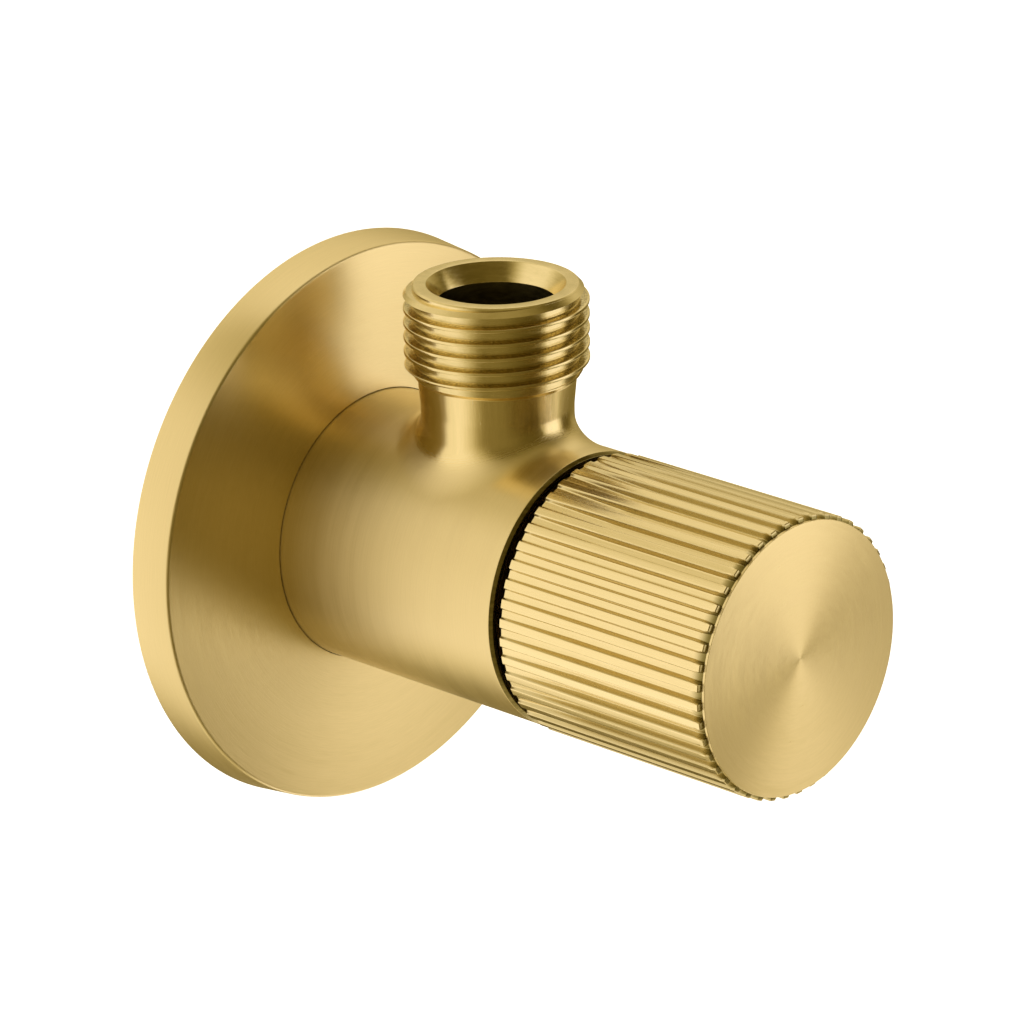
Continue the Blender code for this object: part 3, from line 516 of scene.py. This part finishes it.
def make_body(materials):
    """The casting with both threads joined on, the waterway cut out and a finish for each region."""
    body = body_skin()
    combined(body, outlet_thread(), "UNION")
    combined(body, inlet_thread(), "UNION")
    combined(body, waterway(), "DIFFERENCE")
    finish_piece(body, "body", ["valve_body"], materials)
    for face in body.data.polygons:
        face.material_index = body_finish(*(face.center / MM))
    shade(body)


# ---------------------------------------------------------------- handle

# Half of one rib: (angle in degrees from its middle, share of its height)
RIB_HALF = ((0.7, 1.0), (1.3, 1.0), (1.56, 0.985), (1.72, 0.93), (1.86, 0.82), (2.0, 0.65), (2.2, 0.38),
            (2.34, 0.2), (2.48, 0.08), (2.62, 0.02), (2.8, 0.0), (3.4, 0.0))


def knob_angles():
    """Angles and rib shares of the knob's columns, all the way round."""
    pitch = 360.0 / RIB_COUNT
    half = np.array(RIB_HALF)
    rib = np.concatenate([[[-pitch / 2.0, 0.0]], half[::-1] * (-1.0, 1.0), [[0.0, 1.0]], half])
    angles = np.concatenate([rib[:, 0] + i * pitch for i in range(RIB_COUNT)])
    return np.radians(angles), np.tile(rib[:, 1], RIB_COUNT)


def knob_rows():
    """(depth, land radius, floor radius, pinch) rows: shallow behind, scooped between rib ends in front."""
    rows = [(KNOB_BACK, RIM_R - END_LIP, RIM_R - END_LIP, 1.0),
            (KNOB_BACK, RIB_TIP_R - BACK_EASE, BACK_FLOOR_R - BACK_EASE, 1.0),
            (KNOB_BACK + BACK_EASE, RIB_TIP_R, BACK_FLOOR_R, 1.0)]
    for t in np.linspace(0.9, 0.0, 10):
        floor = RIB_ROOT_R + (BACK_FLOOR_R - RIB_ROOT_R) * t ** BACK_BEND
        rows.append((KNOB_BACK + BACK_SCOOP * (1.0 - t), RIB_TIP_R, floor, 1.0))
    for share in (0.5, 0.65, 0.8):
        rows.append((KNOB_BACK + (RIM_S - KNOB_BACK) * share, RIB_TIP_R, RIB_ROOT_R, 1.0))
    for t in np.linspace(0.0, 1.0, 17):
        s = RIM_S - FRONT_SCOOP * (1.0 - t)
        land_t = max(0.0, (s - RIM_S + FRONT_ROUND) / FRONT_ROUND)
        land = RIM_R + (RIB_TIP_R - RIM_R) * math.sqrt(max(0.0, 1.0 - land_t ** 2))
        floor = RIB_ROOT_R + (FRONT_FLOOR_R - RIB_ROOT_R) * t ** FRONT_BEND
        rows.append((s, land, floor, 1.0 + FRONT_PINCH * t ** 2))
    rows.append((RIM_S, FRONT_FLOOR_R - END_LIP, FRONT_FLOOR_R - END_LIP, 1.0))
    return rows


def make_knob(materials):
    """The ribbed grip: hollow behind, with a hexagon socket in its hub and a recess for the end disc."""
    skin = Skin()
    angles, share = knob_angles()
    loops = [skin.add(about_main(floor + (land - floor) * share ** pinch, angles, s))
             for s, land, floor, pinch in knob_rows()]
    back_pole = skin.add(about_main(0.0, angles[:1], KNOB_BACK))
    front_pole = skin.add(about_main(0.0, angles[:1], RIM_S))
    skin.bridge(loops[0], back_pole)
    for upper, lower in zip(loops, loops[1:]):
        skin.bridge(upper, lower)
    skin.bridge(loops[-1], front_pole)
    knob = skin.piece("knob_grip")
    cavity = turned("knob_cavity", rounded([
        (0.0, HUB_BACK, 0.0), (HUB_R, HUB_BACK, 0.3), (HUB_R, WEB_BACK, 0.3), (SKIRT_IN_R, WEB_BACK, 0.3),
        (SKIRT_IN_R, KNOB_BACK + 0.4, 0.0), (SKIRT_LEAD_R, KNOB_BACK - 0.5, 0.0),
        (0.0, KNOB_BACK - 0.5, 0.0)]), 144)
    combined(knob, cavity, "DIFFERENCE")
    corner_r = SOCKET_FLATS / math.sqrt(3.0)
    turns = [FULL_TURN * i / 6 for i in range(6)]
    hexagon = [(corner_r * math.cos(turn), corner_r * math.sin(turn)) for turn in turns]
    combined(knob, prism("adapter_socket", hexagon, HUB_BACK - PAST, WEB_BACK), "DIFFERENCE")
    recess = turned("knob_recess", rounded([
        (0.0, WEB_FRONT, 0.0), (RECESS_R, WEB_FRONT, 0.2), (RECESS_R, RIM_S + PAST, 0.0),
        (0.0, RIM_S + PAST, 0.0)]), 144)
    combined(knob, recess, "DIFFERENCE")
    low, high = WEB_HOLE_ENDS
    hole = turned("web_hole", [(0.0, low), (WEB_HOLE_R, low), (WEB_HOLE_R, high), (0.0, high)], 48)
    combined(knob, hole, "DIFFERENCE")
    finish_piece(knob, "handle", ["handle_knob"], materials)
    shade(knob)


def make_cap(materials):
    """The spun end disc with its push-in spigot and seal groove."""
    low, high = SPIGOT_GROOVE
    cap = turned("cap_disc", rounded([
        (0.0, CAP_FRONT, 0.0), (CAP_R, CAP_FRONT, 0.05), (CAP_R, CAP_BACK, 0.03), (SPIGOT_R, CAP_BACK, 0.1),
        (SPIGOT_R, high, 0.05), (SPIGOT_GROOVE_R, high, 0.05), (SPIGOT_GROOVE_R, low, 0.05),
        (SPIGOT_R, low, 0.05), (SPIGOT_R, SPIGOT_BACK, 0.3), (SPIGOT_HOLLOW_R, SPIGOT_BACK, 0.1),
        (SPIGOT_HOLLOW_R, SPIGOT_HOLLOW_FRONT, 0.2), (0.0, SPIGOT_HOLLOW_FRONT, 0.0)]), 288)
    finish_piece(cap, "handle", ["handle_end_cap"], materials)
    shade(cap)


# ---------------------------------------------------------------- wall flange

def make_flange(materials):
    """The thin cover plate, with the collar behind its face that holds the rubber ring."""
    inside_r = FLANGE_BACK_R - FLANGE_WALL
    rim_in_r = FLANGE_EDGE_R - FLANGE_WALL
    under = FLANGE_HUB_S - FLANGE_WALL
    corners = [
        (FLANGE_HOLE_R, FLANGE_HUB_S, 0.1), (FLANGE_FACE_R, FLANGE_FACE_S, 0.0),
        (FLANGE_EDGE_R, FLANGE_EDGE_S, 0.3), (FLANGE_BACK_R, 0.0, 0.12), (inside_r, 0.0, 0.12),
        (rim_in_r, under - 0.4, 0.4), (COLLAR_OUT_R, under, 0.3), (COLLAR_OUT_R, COLLAR_BACK, 0.1),
        (COLLAR_IN_R, COLLAR_BACK, 0.1), (COLLAR_IN_R, under, 0.3), (FLANGE_HOLE_R, under, 0.1),
        (FLANGE_HOLE_R, FLANGE_HOLE_S, 0.0)]
    flange = turned("flange_plate", rounded(corners, 5), 384, closed=True)
    finish_piece(flange, "flange", ["wall_flange"], materials)
    shade(flange)


# ---------------------------------------------------------------- materials

class Tree:
    """A material's nodes, wired by short calls."""

    def __init__(self, name):
        self.material = bpy.data.materials.new(name)
        self.material.use_nodes = True
        self.nodes = self.material.node_tree.nodes
        self.links = self.material.node_tree.links
        self.shader = self.nodes["Principled BSDF"]
        self.place = self.node("ShaderNodeTexCoord").outputs["Object"]

    def node(self, kind, settings=None, **inputs):
        made = self.nodes.new(kind)
        for key, value in (settings or {}).items():
            setattr(made, key, value)
        for key, value in inputs.items():
            slot = made.inputs[int(key[1:])] if key[0] == "i" and key[1:].isdigit() else made.inputs[key]
            if isinstance(value, bpy.types.NodeSocket):
                self.links.new(value, slot)
            else:
                slot.default_value = value
        return made

    def math(self, operation, first, second=0.0):
        return self.node("ShaderNodeMath", {"operation": operation}, i0=first, i1=second).outputs[0]

    def vector(self, operation, first, second=(0.0, 0.0, 0.0)):
        made = self.node("ShaderNodeVectorMath", {"operation": operation}, i0=first, i1=second)
        return made.outputs["Value" if operation in ("LENGTH", "DOT_PRODUCT") else "Vector"]

    def joined(self, x, y, z):
        return self.node("ShaderNodeCombineXYZ", i0=x, i1=y, i2=z).outputs[0]

    def split(self, vector):
        return self.node("ShaderNodeSeparateXYZ", i0=vector).outputs

    def noise(self, vector, scale, detail=3.0, roughness=0.55):
        made = self.node("ShaderNodeTexNoise", i0=vector)
        made.inputs["Scale"].default_value = scale
        made.inputs["Detail"].default_value = detail
        made.inputs["Roughness"].default_value = roughness
        return made.outputs["Fac"]

    def ranged(self, value, low, high, to_low, to_high, smooth=False):
        made = self.node("ShaderNodeMapRange", {"interpolation_type": "SMOOTHSTEP" if smooth else "LINEAR"})
        self.links.new(value, made.inputs["Value"])
        for key, number in zip(("From Min", "From Max", "To Min", "To Max"), (low, high, to_low, to_high)):
            made.inputs[key].default_value = number
        return made.outputs["Result"]

    def mixed_colour(self, factor, first, second):
        made = self.node("ShaderNodeMix", {"data_type": "RGBA"})
        self.links.new(factor, made.inputs[0])
        for slot, colour in ((made.inputs[6], first), (made.inputs[7], second)):
            if isinstance(colour, bpy.types.NodeSocket):
                self.links.new(colour, slot)
            else:
                slot.default_value = colour
        return made.outputs[2]

    def set(self, **inputs):
        for key, value in inputs.items():
            slot = self.shader.inputs[key.replace("_", " ")]
            if isinstance(value, bpy.types.NodeSocket):
                self.links.new(value, slot)
            else:
                slot.default_value = value

    def to_world(self, vector):
        made = self.node("ShaderNodeVectorTransform", {
            "vector_type": "VECTOR", "convert_from": "OBJECT", "convert_to": "WORLD"}, i0=vector)
        return made.outputs[0]

    def bump(self, height, distance, strength):
        made = self.node("ShaderNodeBump")
        made.inputs["Strength"].default_value = strength
        made.inputs["Distance"].default_value = distance
        self.links.new(height, made.inputs["Height"])
        return made.outputs["Normal"]


GOLD_LIGHT = (0.96, 0.805, 0.45, 1.0)
GOLD_DEEP = (0.88, 0.735, 0.39, 1.0)
# Painted shade: a dark olive gold mixed in wherever a painted-shade mask is high
GOLD_PAINTED_SHADE = (0.34, 0.29, 0.115, 1.0)
THREAD_LIGHT = (0.95, 0.81, 0.46, 1.0)
THREAD_DEEP = (0.8, 0.68, 0.36, 1.0)
# Painted shade: the tube's front edge and face are coloured dark gold for the shade of the gap behind the
# handle
SHADED_EDGE_LIGHT = (0.52, 0.44, 0.2, 1.0)
SHADED_EDGE_DEEP = (0.2, 0.16, 0.05, 1.0)
# Painted shade: the bores are coloured near black for the shade inside them
SHADED_BORE_LIGHT = (0.2, 0.17, 0.08, 1.0)
SHADED_BORE_DEEP = (0.09, 0.075, 0.03, 1.0)
KNOB_LIGHT = (0.97, 0.825, 0.485, 1.0)
KNOB_DEEP = (0.9, 0.765, 0.425, 1.0)

# Bump heights of the gold's grain and of the hidden pieces' finish, in metres
GRAIN_HEIGHT = 0.00004
PLAIN_HEIGHT = 0.00005

# How many grain marks a metre holds; the spun pieces also have marks round the circle
SPUN_RINGS, SPUN_ROUND = 9000.0, 9.0
DISC_RINGS, DISC_ROUND = 4300.0, 4.5
TUBE_ALONG, TUBE_ACROSS = 7000.0, 160.0
NECK_ACROSS = 3200.0
BODY_UPRIGHT = 110.0
THREAD_GRAIN = (900.0, 900.0, 3500.0)
KNOB_GRAIN = (6500.0, 260.0, 6500.0)
SPECKLE_GRAIN = (5200.0, 5200.0, 5200.0)
BROAD_SHARE = (0.13, 0.13, 0.13)

# Painted shade on groove walls and thread flanks: how squarely a groove faces outwards, and millimetres from
# an axis or up the outlet
WALL_FACING = (0.6, 0.93)
WALL_PAINTED_SHADE = 0.42
RIB_END_R = (12.6, 12.83)
RIB_END_Y = (-55.3, -54.1)
FLANK_BAND = (7.5, 7.66, 8.08, 8.24)
FLANK_PAINTED_SHADE = (0.1, 0.85)
UNSHADED_TOP = (1.3, 0.9)
NECK_POLISH = 0.1


def gold(name, place, roughness, spread, anisotropic, bump, tangent=None, light=GOLD_LIGHT, deep=GOLD_DEEP,
         painted_shade=None, polished=None):
    """Brushed gold, from functions of the material's tree.

    place: where the grain is looked up, in grain lengths.  tangent: the direction that highlights stretch
    along, across the grain.  painted_shade: nought to one where painted shade darkens the colour.  polished:
    the roughness lost.
    """
    tree = Tree(name)
    spot = place(tree)
    fine = tree.noise(spot, 1.0, 4.0, 0.62)
    broad = tree.noise(tree.vector("MULTIPLY", spot, BROAD_SHARE), 1.0, 2.0, 0.5)
    grain = tree.math("ADD", tree.math("MULTIPLY", fine, 0.7), tree.math("MULTIPLY", broad, 0.3))
    colour = tree.mixed_colour(tree.ranged(grain, 0.3, 0.7, 0.0, 1.0), deep, light)
    # Painted shade: the colour darkens towards a dark olive gold where the mask is high
    if painted_shade:
        colour = tree.mixed_colour(painted_shade(tree), colour, GOLD_PAINTED_SHADE)
    tree.set(Base_Color=colour)
    tree.set(Metallic=1.0)
    rough = tree.ranged(grain, 0.3, 0.7, roughness - spread, roughness + spread)
    if polished:
        rough = tree.math("SUBTRACT", rough, polished(tree))
    tree.set(Roughness=rough)
    tree.set(Anisotropic=anisotropic)
    if tangent:
        tree.set(Tangent=tree.to_world(tangent(tree)))
    tree.set(Normal=tree.bump(grain, GRAIN_HEIGHT, bump))
    return tree.material


def from_main_axis(tree):
    """Distance from the main axis and the unit direction away from it."""
    across = tree.vector("MULTIPLY", tree.place, (1.0, 0.0, 1.0))
    return tree.vector("LENGTH", across), tree.vector("NORMALIZE", across)


def spun_place(tree):
    """Rings about the main axis on a face or a skirt: fast across, slow around."""
    radius, away = from_main_axis(tree)
    depth = tree.split(tree.place)[1]
    x, _, z = tree.split(away)
    rings = tree.math("MULTIPLY", tree.math("ADD", radius, depth), SPUN_RINGS)
    return tree.joined(rings, tree.math("MULTIPLY", x, SPUN_ROUND), tree.math("MULTIPLY", z, SPUN_ROUND))


def disc_place(tree):
    """Coarser turning marks on the end disc, broken up round the circle."""
    radius, away = from_main_axis(tree)
    x, _, z = tree.split(away)
    return tree.joined(tree.math("MULTIPLY", radius, DISC_RINGS), tree.math("MULTIPLY", x, DISC_ROUND),
                       tree.math("MULTIPLY", z, DISC_ROUND))


def away_from_axis(tree):
    return from_main_axis(tree)[1]


def neck_mask(tree):
    """Nought on the tube and one on the neck, by the height above the tube's surface."""
    radius, _ = from_main_axis(tree)
    upright = tree.ranged(tree.split(tree.place)[2], 0.0, 0.004, 0.0, 1.0, smooth=True)
    proud = tree.ranged(radius, (TUBE_R + 0.15) * MM, (TUBE_R + 1.5) * MM, 0.0, 1.0, smooth=True)
    return tree.math("MULTIPLY", upright, proud)


def body_place(tree):
    """Rings round the tube, turning into upright marks on the neck above it."""
    x, y, z = tree.split(tree.place)
    across = tree.ranged(neck_mask(tree), 0.0, 1.0, TUBE_ACROSS, NECK_ACROSS)
    along = tree.ranged(neck_mask(tree), 0.0, 1.0, TUBE_ALONG, NECK_ACROSS)
    return tree.joined(tree.math("MULTIPLY", y, along), tree.math("MULTIPLY", x, across),
                       tree.math("MULTIPLY", z, BODY_UPRIGHT))


def body_tangent(tree):
    """Along the tube, turning upright on the neck."""
    mask = neck_mask(tree)
    return tree.joined(0.0, tree.math("SUBTRACT", 1.0, mask), mask)


def thread_place(tree):
    return tree.vector("MULTIPLY", tree.place, THREAD_GRAIN)


def knob_place(tree):
    return tree.vector("MULTIPLY", tree.place, KNOB_GRAIN)


def band(tree, value, edges):
    """One between the middle two of four edges in millimetres, falling to nought at the outer two."""
    low, full, still, high = [edge * MM for edge in edges]
    return tree.math("MULTIPLY", tree.ranged(value, low, full, 0.0, 1.0, smooth=True),
                     tree.ranged(value, still, high, 1.0, 0.0, smooth=True))


def neck_polish(tree):
    """The neck is smoother than the tube."""
    return tree.math("MULTIPLY", neck_mask(tree), NECK_POLISH)


def groove_painted_shade(tree):
    """Painted shade on the walls and front ends of the knob's grooves."""
    radius, away = from_main_axis(tree)
    normal = tree.node("ShaderNodeTexCoord").outputs["Normal"]
    facing = tree.vector("DOT_PRODUCT", normal, away)
    walls = tree.ranged(facing, *WALL_FACING, WALL_PAINTED_SHADE, 0.0, smooth=True)
    low, high = [edge * MM for edge in RIB_END_R]
    deep = tree.ranged(radius, low, high, 1.0, 0.0, smooth=True)
    low, high = [edge * MM for edge in RIB_END_Y]
    front = tree.ranged(tree.split(tree.place)[1], low, high, 1.0, 0.0, smooth=True)
    return tree.math("MAXIMUM", walls, tree.math("MULTIPLY", deep, front))


def flank_painted_shade(tree):
    """Painted shade on the flanks of the outlet's thread, mottled by noise."""
    from_outlet = tree.vector("ADD", tree.place, (0.0, OUTLET_S * MM, 0.0))
    outwards = tree.vector("MULTIPLY", from_outlet, (1.0, 1.0, 0.0))
    speckle = tree.noise(tree.vector("MULTIPLY", tree.place, SPECKLE_GRAIN), 1.0, 3.0, 0.6)
    flank = band(tree, tree.vector("LENGTH", outwards), FLANK_BAND)
    low, high = [(OUTLET_TOP - depth) * MM for depth in UNSHADED_TOP]
    below = tree.ranged(tree.split(tree.place)[2], low, high, 1.0, 0.0)
    flank = tree.math("MULTIPLY", flank, below)
    return tree.math("MULTIPLY", flank, tree.ranged(speckle, 0.4, 0.6, *FLANK_PAINTED_SHADE))


def knob_tangent(tree):
    """Round the knob, across the grain along its ribs."""
    return tree.vector("CROSS_PRODUCT", away_from_axis(tree), (0.0, 1.0, 0.0))


def simple(name, light, deep, metallic, roughness, scale, bump):
    """A hidden piece's finish: mottled colour and roughness with a fine grain."""
    tree = Tree(name)
    place = tree.vector("MULTIPLY", tree.place, (scale, scale, scale))
    grain = tree.noise(place, 1.0, 4.0, 0.6)
    tree.set(Base_Color=tree.mixed_colour(tree.ranged(grain, 0.3, 0.7, 0.0, 1.0), deep, light))
    tree.set(Metallic=metallic)
    tree.set(Roughness=tree.ranged(grain, 0.3, 0.7, roughness * 0.8, roughness * 1.2))
    tree.set(Normal=tree.bump(grain, PLAIN_HEIGHT, bump))
    return tree.material


# ---------------------------------------------------------------- light, floor and camera

# Studio panels: (azimuth from +X towards +Y, half width, lowest and highest elevation, softness, strength)
PANELS = (
    (310.0, 18.0, -24.0, 24.0, 14.0, 1.17),
    (144.0, 40.0, -66.0, 56.0, 44.0, 0.9),
    (112.0, 22.0, -44.0, 2.0, 24.0, 0.25),
    (45.0, 56.0, 14.0, 91.0, 34.0, 0.74),
    (45.0, 45.0, -18.0, 12.0, 20.0, 0.28),
    (348.0, 32.0, -80.0, -32.0, 26.0, 1.0),
    (205.0, 40.0, -70.0, 30.0, 50.0, 0.12),
    (0.0, 181.0, -91.0, -58.0, 26.0, 0.5),
    (0.0, 181.0, 58.0, 91.0, 26.0, 0.24),
)
ROOM = 0.105
# Red, green and blue of the light as (share, power of its strength): its dark parts are the warmer ones
WARMTH = ((1.0, 1.0), (0.885, 1.1), (0.68, 1.7))


def studio():
    """A dark warm room with large soft panels, and white where the camera looks past the floor."""
    world = bpy.data.worlds.new("studio")
    bpy.context.scene.world = world
    world.use_nodes = True
    nodes = world.node_tree.nodes
    links = world.node_tree.links
    nodes.clear()

    def linked(slot, value):
        if isinstance(value, bpy.types.NodeSocket):
            links.new(value, slot)
        else:
            slot.default_value = value

    def math_node(operation, first, second=0.0):
        made = nodes.new("ShaderNodeMath")
        made.operation = operation
        linked(made.inputs[0], first)
        linked(made.inputs[1], second)
        return made.outputs[0]

    def step_node(value, low, high):
        made = nodes.new("ShaderNodeMapRange")
        made.interpolation_type = "SMOOTHSTEP"
        linked(made.inputs["Value"], value)
        made.inputs["From Min"].default_value = low
        made.inputs["From Max"].default_value = high
        return made.outputs["Result"]

    split = nodes.new("ShaderNodeSeparateXYZ")
    links.new(nodes.new("ShaderNodeTexCoord").outputs["Generated"], split.inputs[0])
    x, y, z = split.outputs
    level = math_node("SQRT", math_node("SUBTRACT", 1.0, math_node("MULTIPLY", z, z)))
    level = math_node("MAXIMUM", level, 0.0001)
    elevation = math_node("ARCSINE", z)
    total = ROOM
    for azimuth, half, low, high, soft, strength in PANELS:
        turn = math.radians(azimuth)
        ahead = math_node("ADD", math_node("MULTIPLY", x, math.cos(turn)),
                          math_node("MULTIPLY", y, math.sin(turn)))
        angle = math_node("ARCCOSINE", math_node("MINIMUM", math_node("DIVIDE", ahead, level), 1.0))
        side = step_node(angle, math.radians(half + soft / 2.0), math.radians(half - soft / 2.0))
        lower = step_node(elevation, math.radians(low - soft / 2.0), math.radians(low + soft / 2.0))
        upper = step_node(elevation, math.radians(high + soft / 2.0), math.radians(high - soft / 2.0))
        lit = math_node("MULTIPLY", math_node("MULTIPLY", side, lower),
                        math_node("MULTIPLY", upper, strength))
        total = math_node("ADD", total, lit)
    tinted = nodes.new("ShaderNodeCombineXYZ")
    for i, (share, power) in enumerate(WARMTH):
        links.new(math_node("MULTIPLY", math_node("POWER", total, power), share), tinted.inputs[i])
    background = nodes.new("ShaderNodeBackground")
    links.new(tinted.outputs[0], background.inputs["Color"])
    plain = nodes.new("ShaderNodeBackground")
    plain.inputs["Color"].default_value = (1.0, 1.0, 1.0, 1.0)
    chooser = nodes.new("ShaderNodeMixShader")
    links.new(nodes.new("ShaderNodeLightPath").outputs["Is Camera Ray"], chooser.inputs[0])
    links.new(background.outputs[0], chooser.inputs[1])
    links.new(plain.outputs[0], chooser.inputs[2])
    output = nodes.new("ShaderNodeOutputWorld")
    links.new(chooser.outputs[0], output.inputs["Surface"])


FLOOR_Z = -0.15
FLOOR_SIZE = 40.0


def make_floor():
    """A plain white sheet far below the valve, seen only by the camera."""
    mesh = bpy.data.meshes.new("studio_floor")
    reach = FLOOR_SIZE / 2.0
    corners = [(x * reach, y * reach, FLOOR_Z) for x, y in ((-1, -1), (1, -1), (1, 1), (-1, 1))]
    mesh.from_pydata(corners, [], [(0, 1, 2, 3)])
    floor = bpy.data.objects.new("studio_floor", mesh)
    bpy.context.scene.collection.objects.link(floor)
    material = bpy.data.materials.new("white_floor")
    material.use_nodes = True
    shader = material.node_tree.nodes["Principled BSDF"]
    shader.inputs["Base Color"].default_value = (0.9, 0.9, 0.9, 1.0)
    shader.inputs["Emission Color"].default_value = (1.0, 1.0, 1.0, 1.0)
    shader.inputs["Emission Strength"].default_value = 1.0
    mesh.materials.append(material)
    floor.visible_glossy = False
    floor.visible_diffuse = False
    floor.visible_shadow = False


CAMERA_AZIMUTH = math.radians(-46.109)
CAMERA_ELEVATION = math.radians(20.154)
CAMERA_ROLL = math.radians(-0.757)
CAMERA_DISTANCE = 0.570123
CAMERA_TARGET = Vector((0.007219, -0.014628, 0.001485))
CAMERA_LENS = 218.83
CAMERA_SENSOR = 36.0


def make_camera():
    """A long lens in front of the valve, to its left and a little above it."""
    data = bpy.data.cameras.new("camera")
    data.lens = CAMERA_LENS
    data.sensor_width = CAMERA_SENSOR
    data.clip_start = 0.01
    data.clip_end = 100.0
    camera = bpy.data.objects.new("camera", data)
    bpy.context.scene.collection.objects.link(camera)
    back = Vector((math.sin(CAMERA_AZIMUTH) * math.cos(CAMERA_ELEVATION),
                   -math.cos(CAMERA_AZIMUTH) * math.cos(CAMERA_ELEVATION), math.sin(CAMERA_ELEVATION)))
    level = Vector((math.cos(CAMERA_AZIMUTH), math.sin(CAMERA_AZIMUTH), 0.0))
    upright = back.cross(level)
    right = level * math.cos(CAMERA_ROLL) + upright * math.sin(CAMERA_ROLL)
    up = upright * math.cos(CAMERA_ROLL) - level * math.sin(CAMERA_ROLL)
    turn = Matrix((right, up, back)).transposed().to_4x4()
    camera.matrix_world = Matrix.Translation(CAMERA_TARGET + back * CAMERA_DISTANCE) @ turn
    bpy.context.scene.camera = camera


def make_materials():
    """Every finish by name: the golds that show, then the hidden pieces' brass, rubber, ceramic and so on."""
    brass_light, brass_deep = (0.80, 0.62, 0.30, 1.0), (0.62, 0.45, 0.2, 1.0)
    rubber_light, rubber_deep = (0.03, 0.03, 0.03, 1.0), (0.015, 0.015, 0.015, 1.0)
    ceramic_light, ceramic_deep = (0.88, 0.87, 0.84, 1.0), (0.8, 0.78, 0.74, 1.0)
    acetal_light, acetal_deep = (0.85, 0.85, 0.83, 1.0), (0.76, 0.76, 0.73, 1.0)
    steel_light, steel_deep = (0.66, 0.66, 0.67, 1.0), (0.5, 0.5, 0.52, 1.0)
    return {
        "body": gold("brushed_gold_tube", body_place, 0.34, 0.05, 0.75, 0.25, body_tangent,
                     polished=neck_polish),
        # The thread's flanks get painted shade, mottled by noise
        "thread": gold("polished_gold_thread", thread_place, 0.2, 0.06, 0.0, 0.2,
                       light=THREAD_LIGHT, deep=THREAD_DEEP, painted_shade=flank_painted_shade),
        # Painted shade: the front edge is coloured dark gold
        "edge": gold("gold_edge_painted_shade", thread_place, 0.22, 0.06, 0.0, 0.25, light=SHADED_EDGE_LIGHT, deep=SHADED_EDGE_DEEP),
        # Painted shade: the bores are coloured near black
        "bore": gold("bore_painted_shade", thread_place, 0.4, 0.06, 0.0, 0.25, light=SHADED_BORE_LIGHT, deep=SHADED_BORE_DEEP),
        "flange": gold("brushed_gold_plate", spun_place, 0.34, 0.05, 0.75, 0.25, away_from_axis),
        "cap": gold("spun_gold_disc", disc_place, 0.32, 0.05, 0.8, 0.25, away_from_axis),
        # The knob's groove walls and groove front ends get painted shade
        "knob": gold("satin_gold_ribs", knob_place, 0.25, 0.06, 0.3, 0.2, knob_tangent,
                     KNOB_LIGHT, KNOB_DEEP, groove_painted_shade),
        "brass": simple("turned_brass", brass_light, brass_deep, 1.0, 0.3, 900.0, 0.1),
        "rubber": simple("black_rubber", rubber_light, rubber_deep, 0.0, 0.55, 1500.0, 0.2),
        "ceramic": simple("white_ceramic", ceramic_light, ceramic_deep, 0.0, 0.14, 700.0, 0.03),
        "acetal": simple("white_acetal", acetal_light, acetal_deep, 0.0, 0.4, 1200.0, 0.08),
        "steel": simple("stainless_steel", steel_light, steel_deep, 1.0, 0.25, 1400.0, 0.1),
    }


NODE_FINISHES = {
    "flange_grip_ring": "rubber", "housing_o_ring": "rubber", "seat_seal": "rubber",
    "stem_o_ring_lower": "rubber", "stem_o_ring_upper": "rubber", "cap_o_ring": "rubber",
    "cartridge_housing": "brass", "stem": "brass", "fixed_disc": "ceramic", "moving_disc": "ceramic",
    "disc_driver": "acetal", "thrust_washer": "acetal", "spline_adapter": "acetal",
    "handle_screw": "steel", "screw_lock_washer": "steel", "stem_circlip": "steel",
}


def finish_cad_nodes(materials):
    """Give each CAD node that stays its own finish."""
    for name, finish in NODE_FINISHES.items():
        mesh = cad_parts[name].data
        mesh.materials.clear()
        mesh.materials.append(materials[finish])


bpy.context.scene.view_settings.view_transform = "Standard"
make_camera()
make_floor()
studio()
MATERIALS = make_materials()
make_body([MATERIALS[finish] for finish in ("body", "thread", "edge", "bore")])
make_knob([MATERIALS["knob"]])
make_cap([MATERIALS["cap"]])
make_flange([MATERIALS["flange"]])
finish_cad_nodes(MATERIALS)
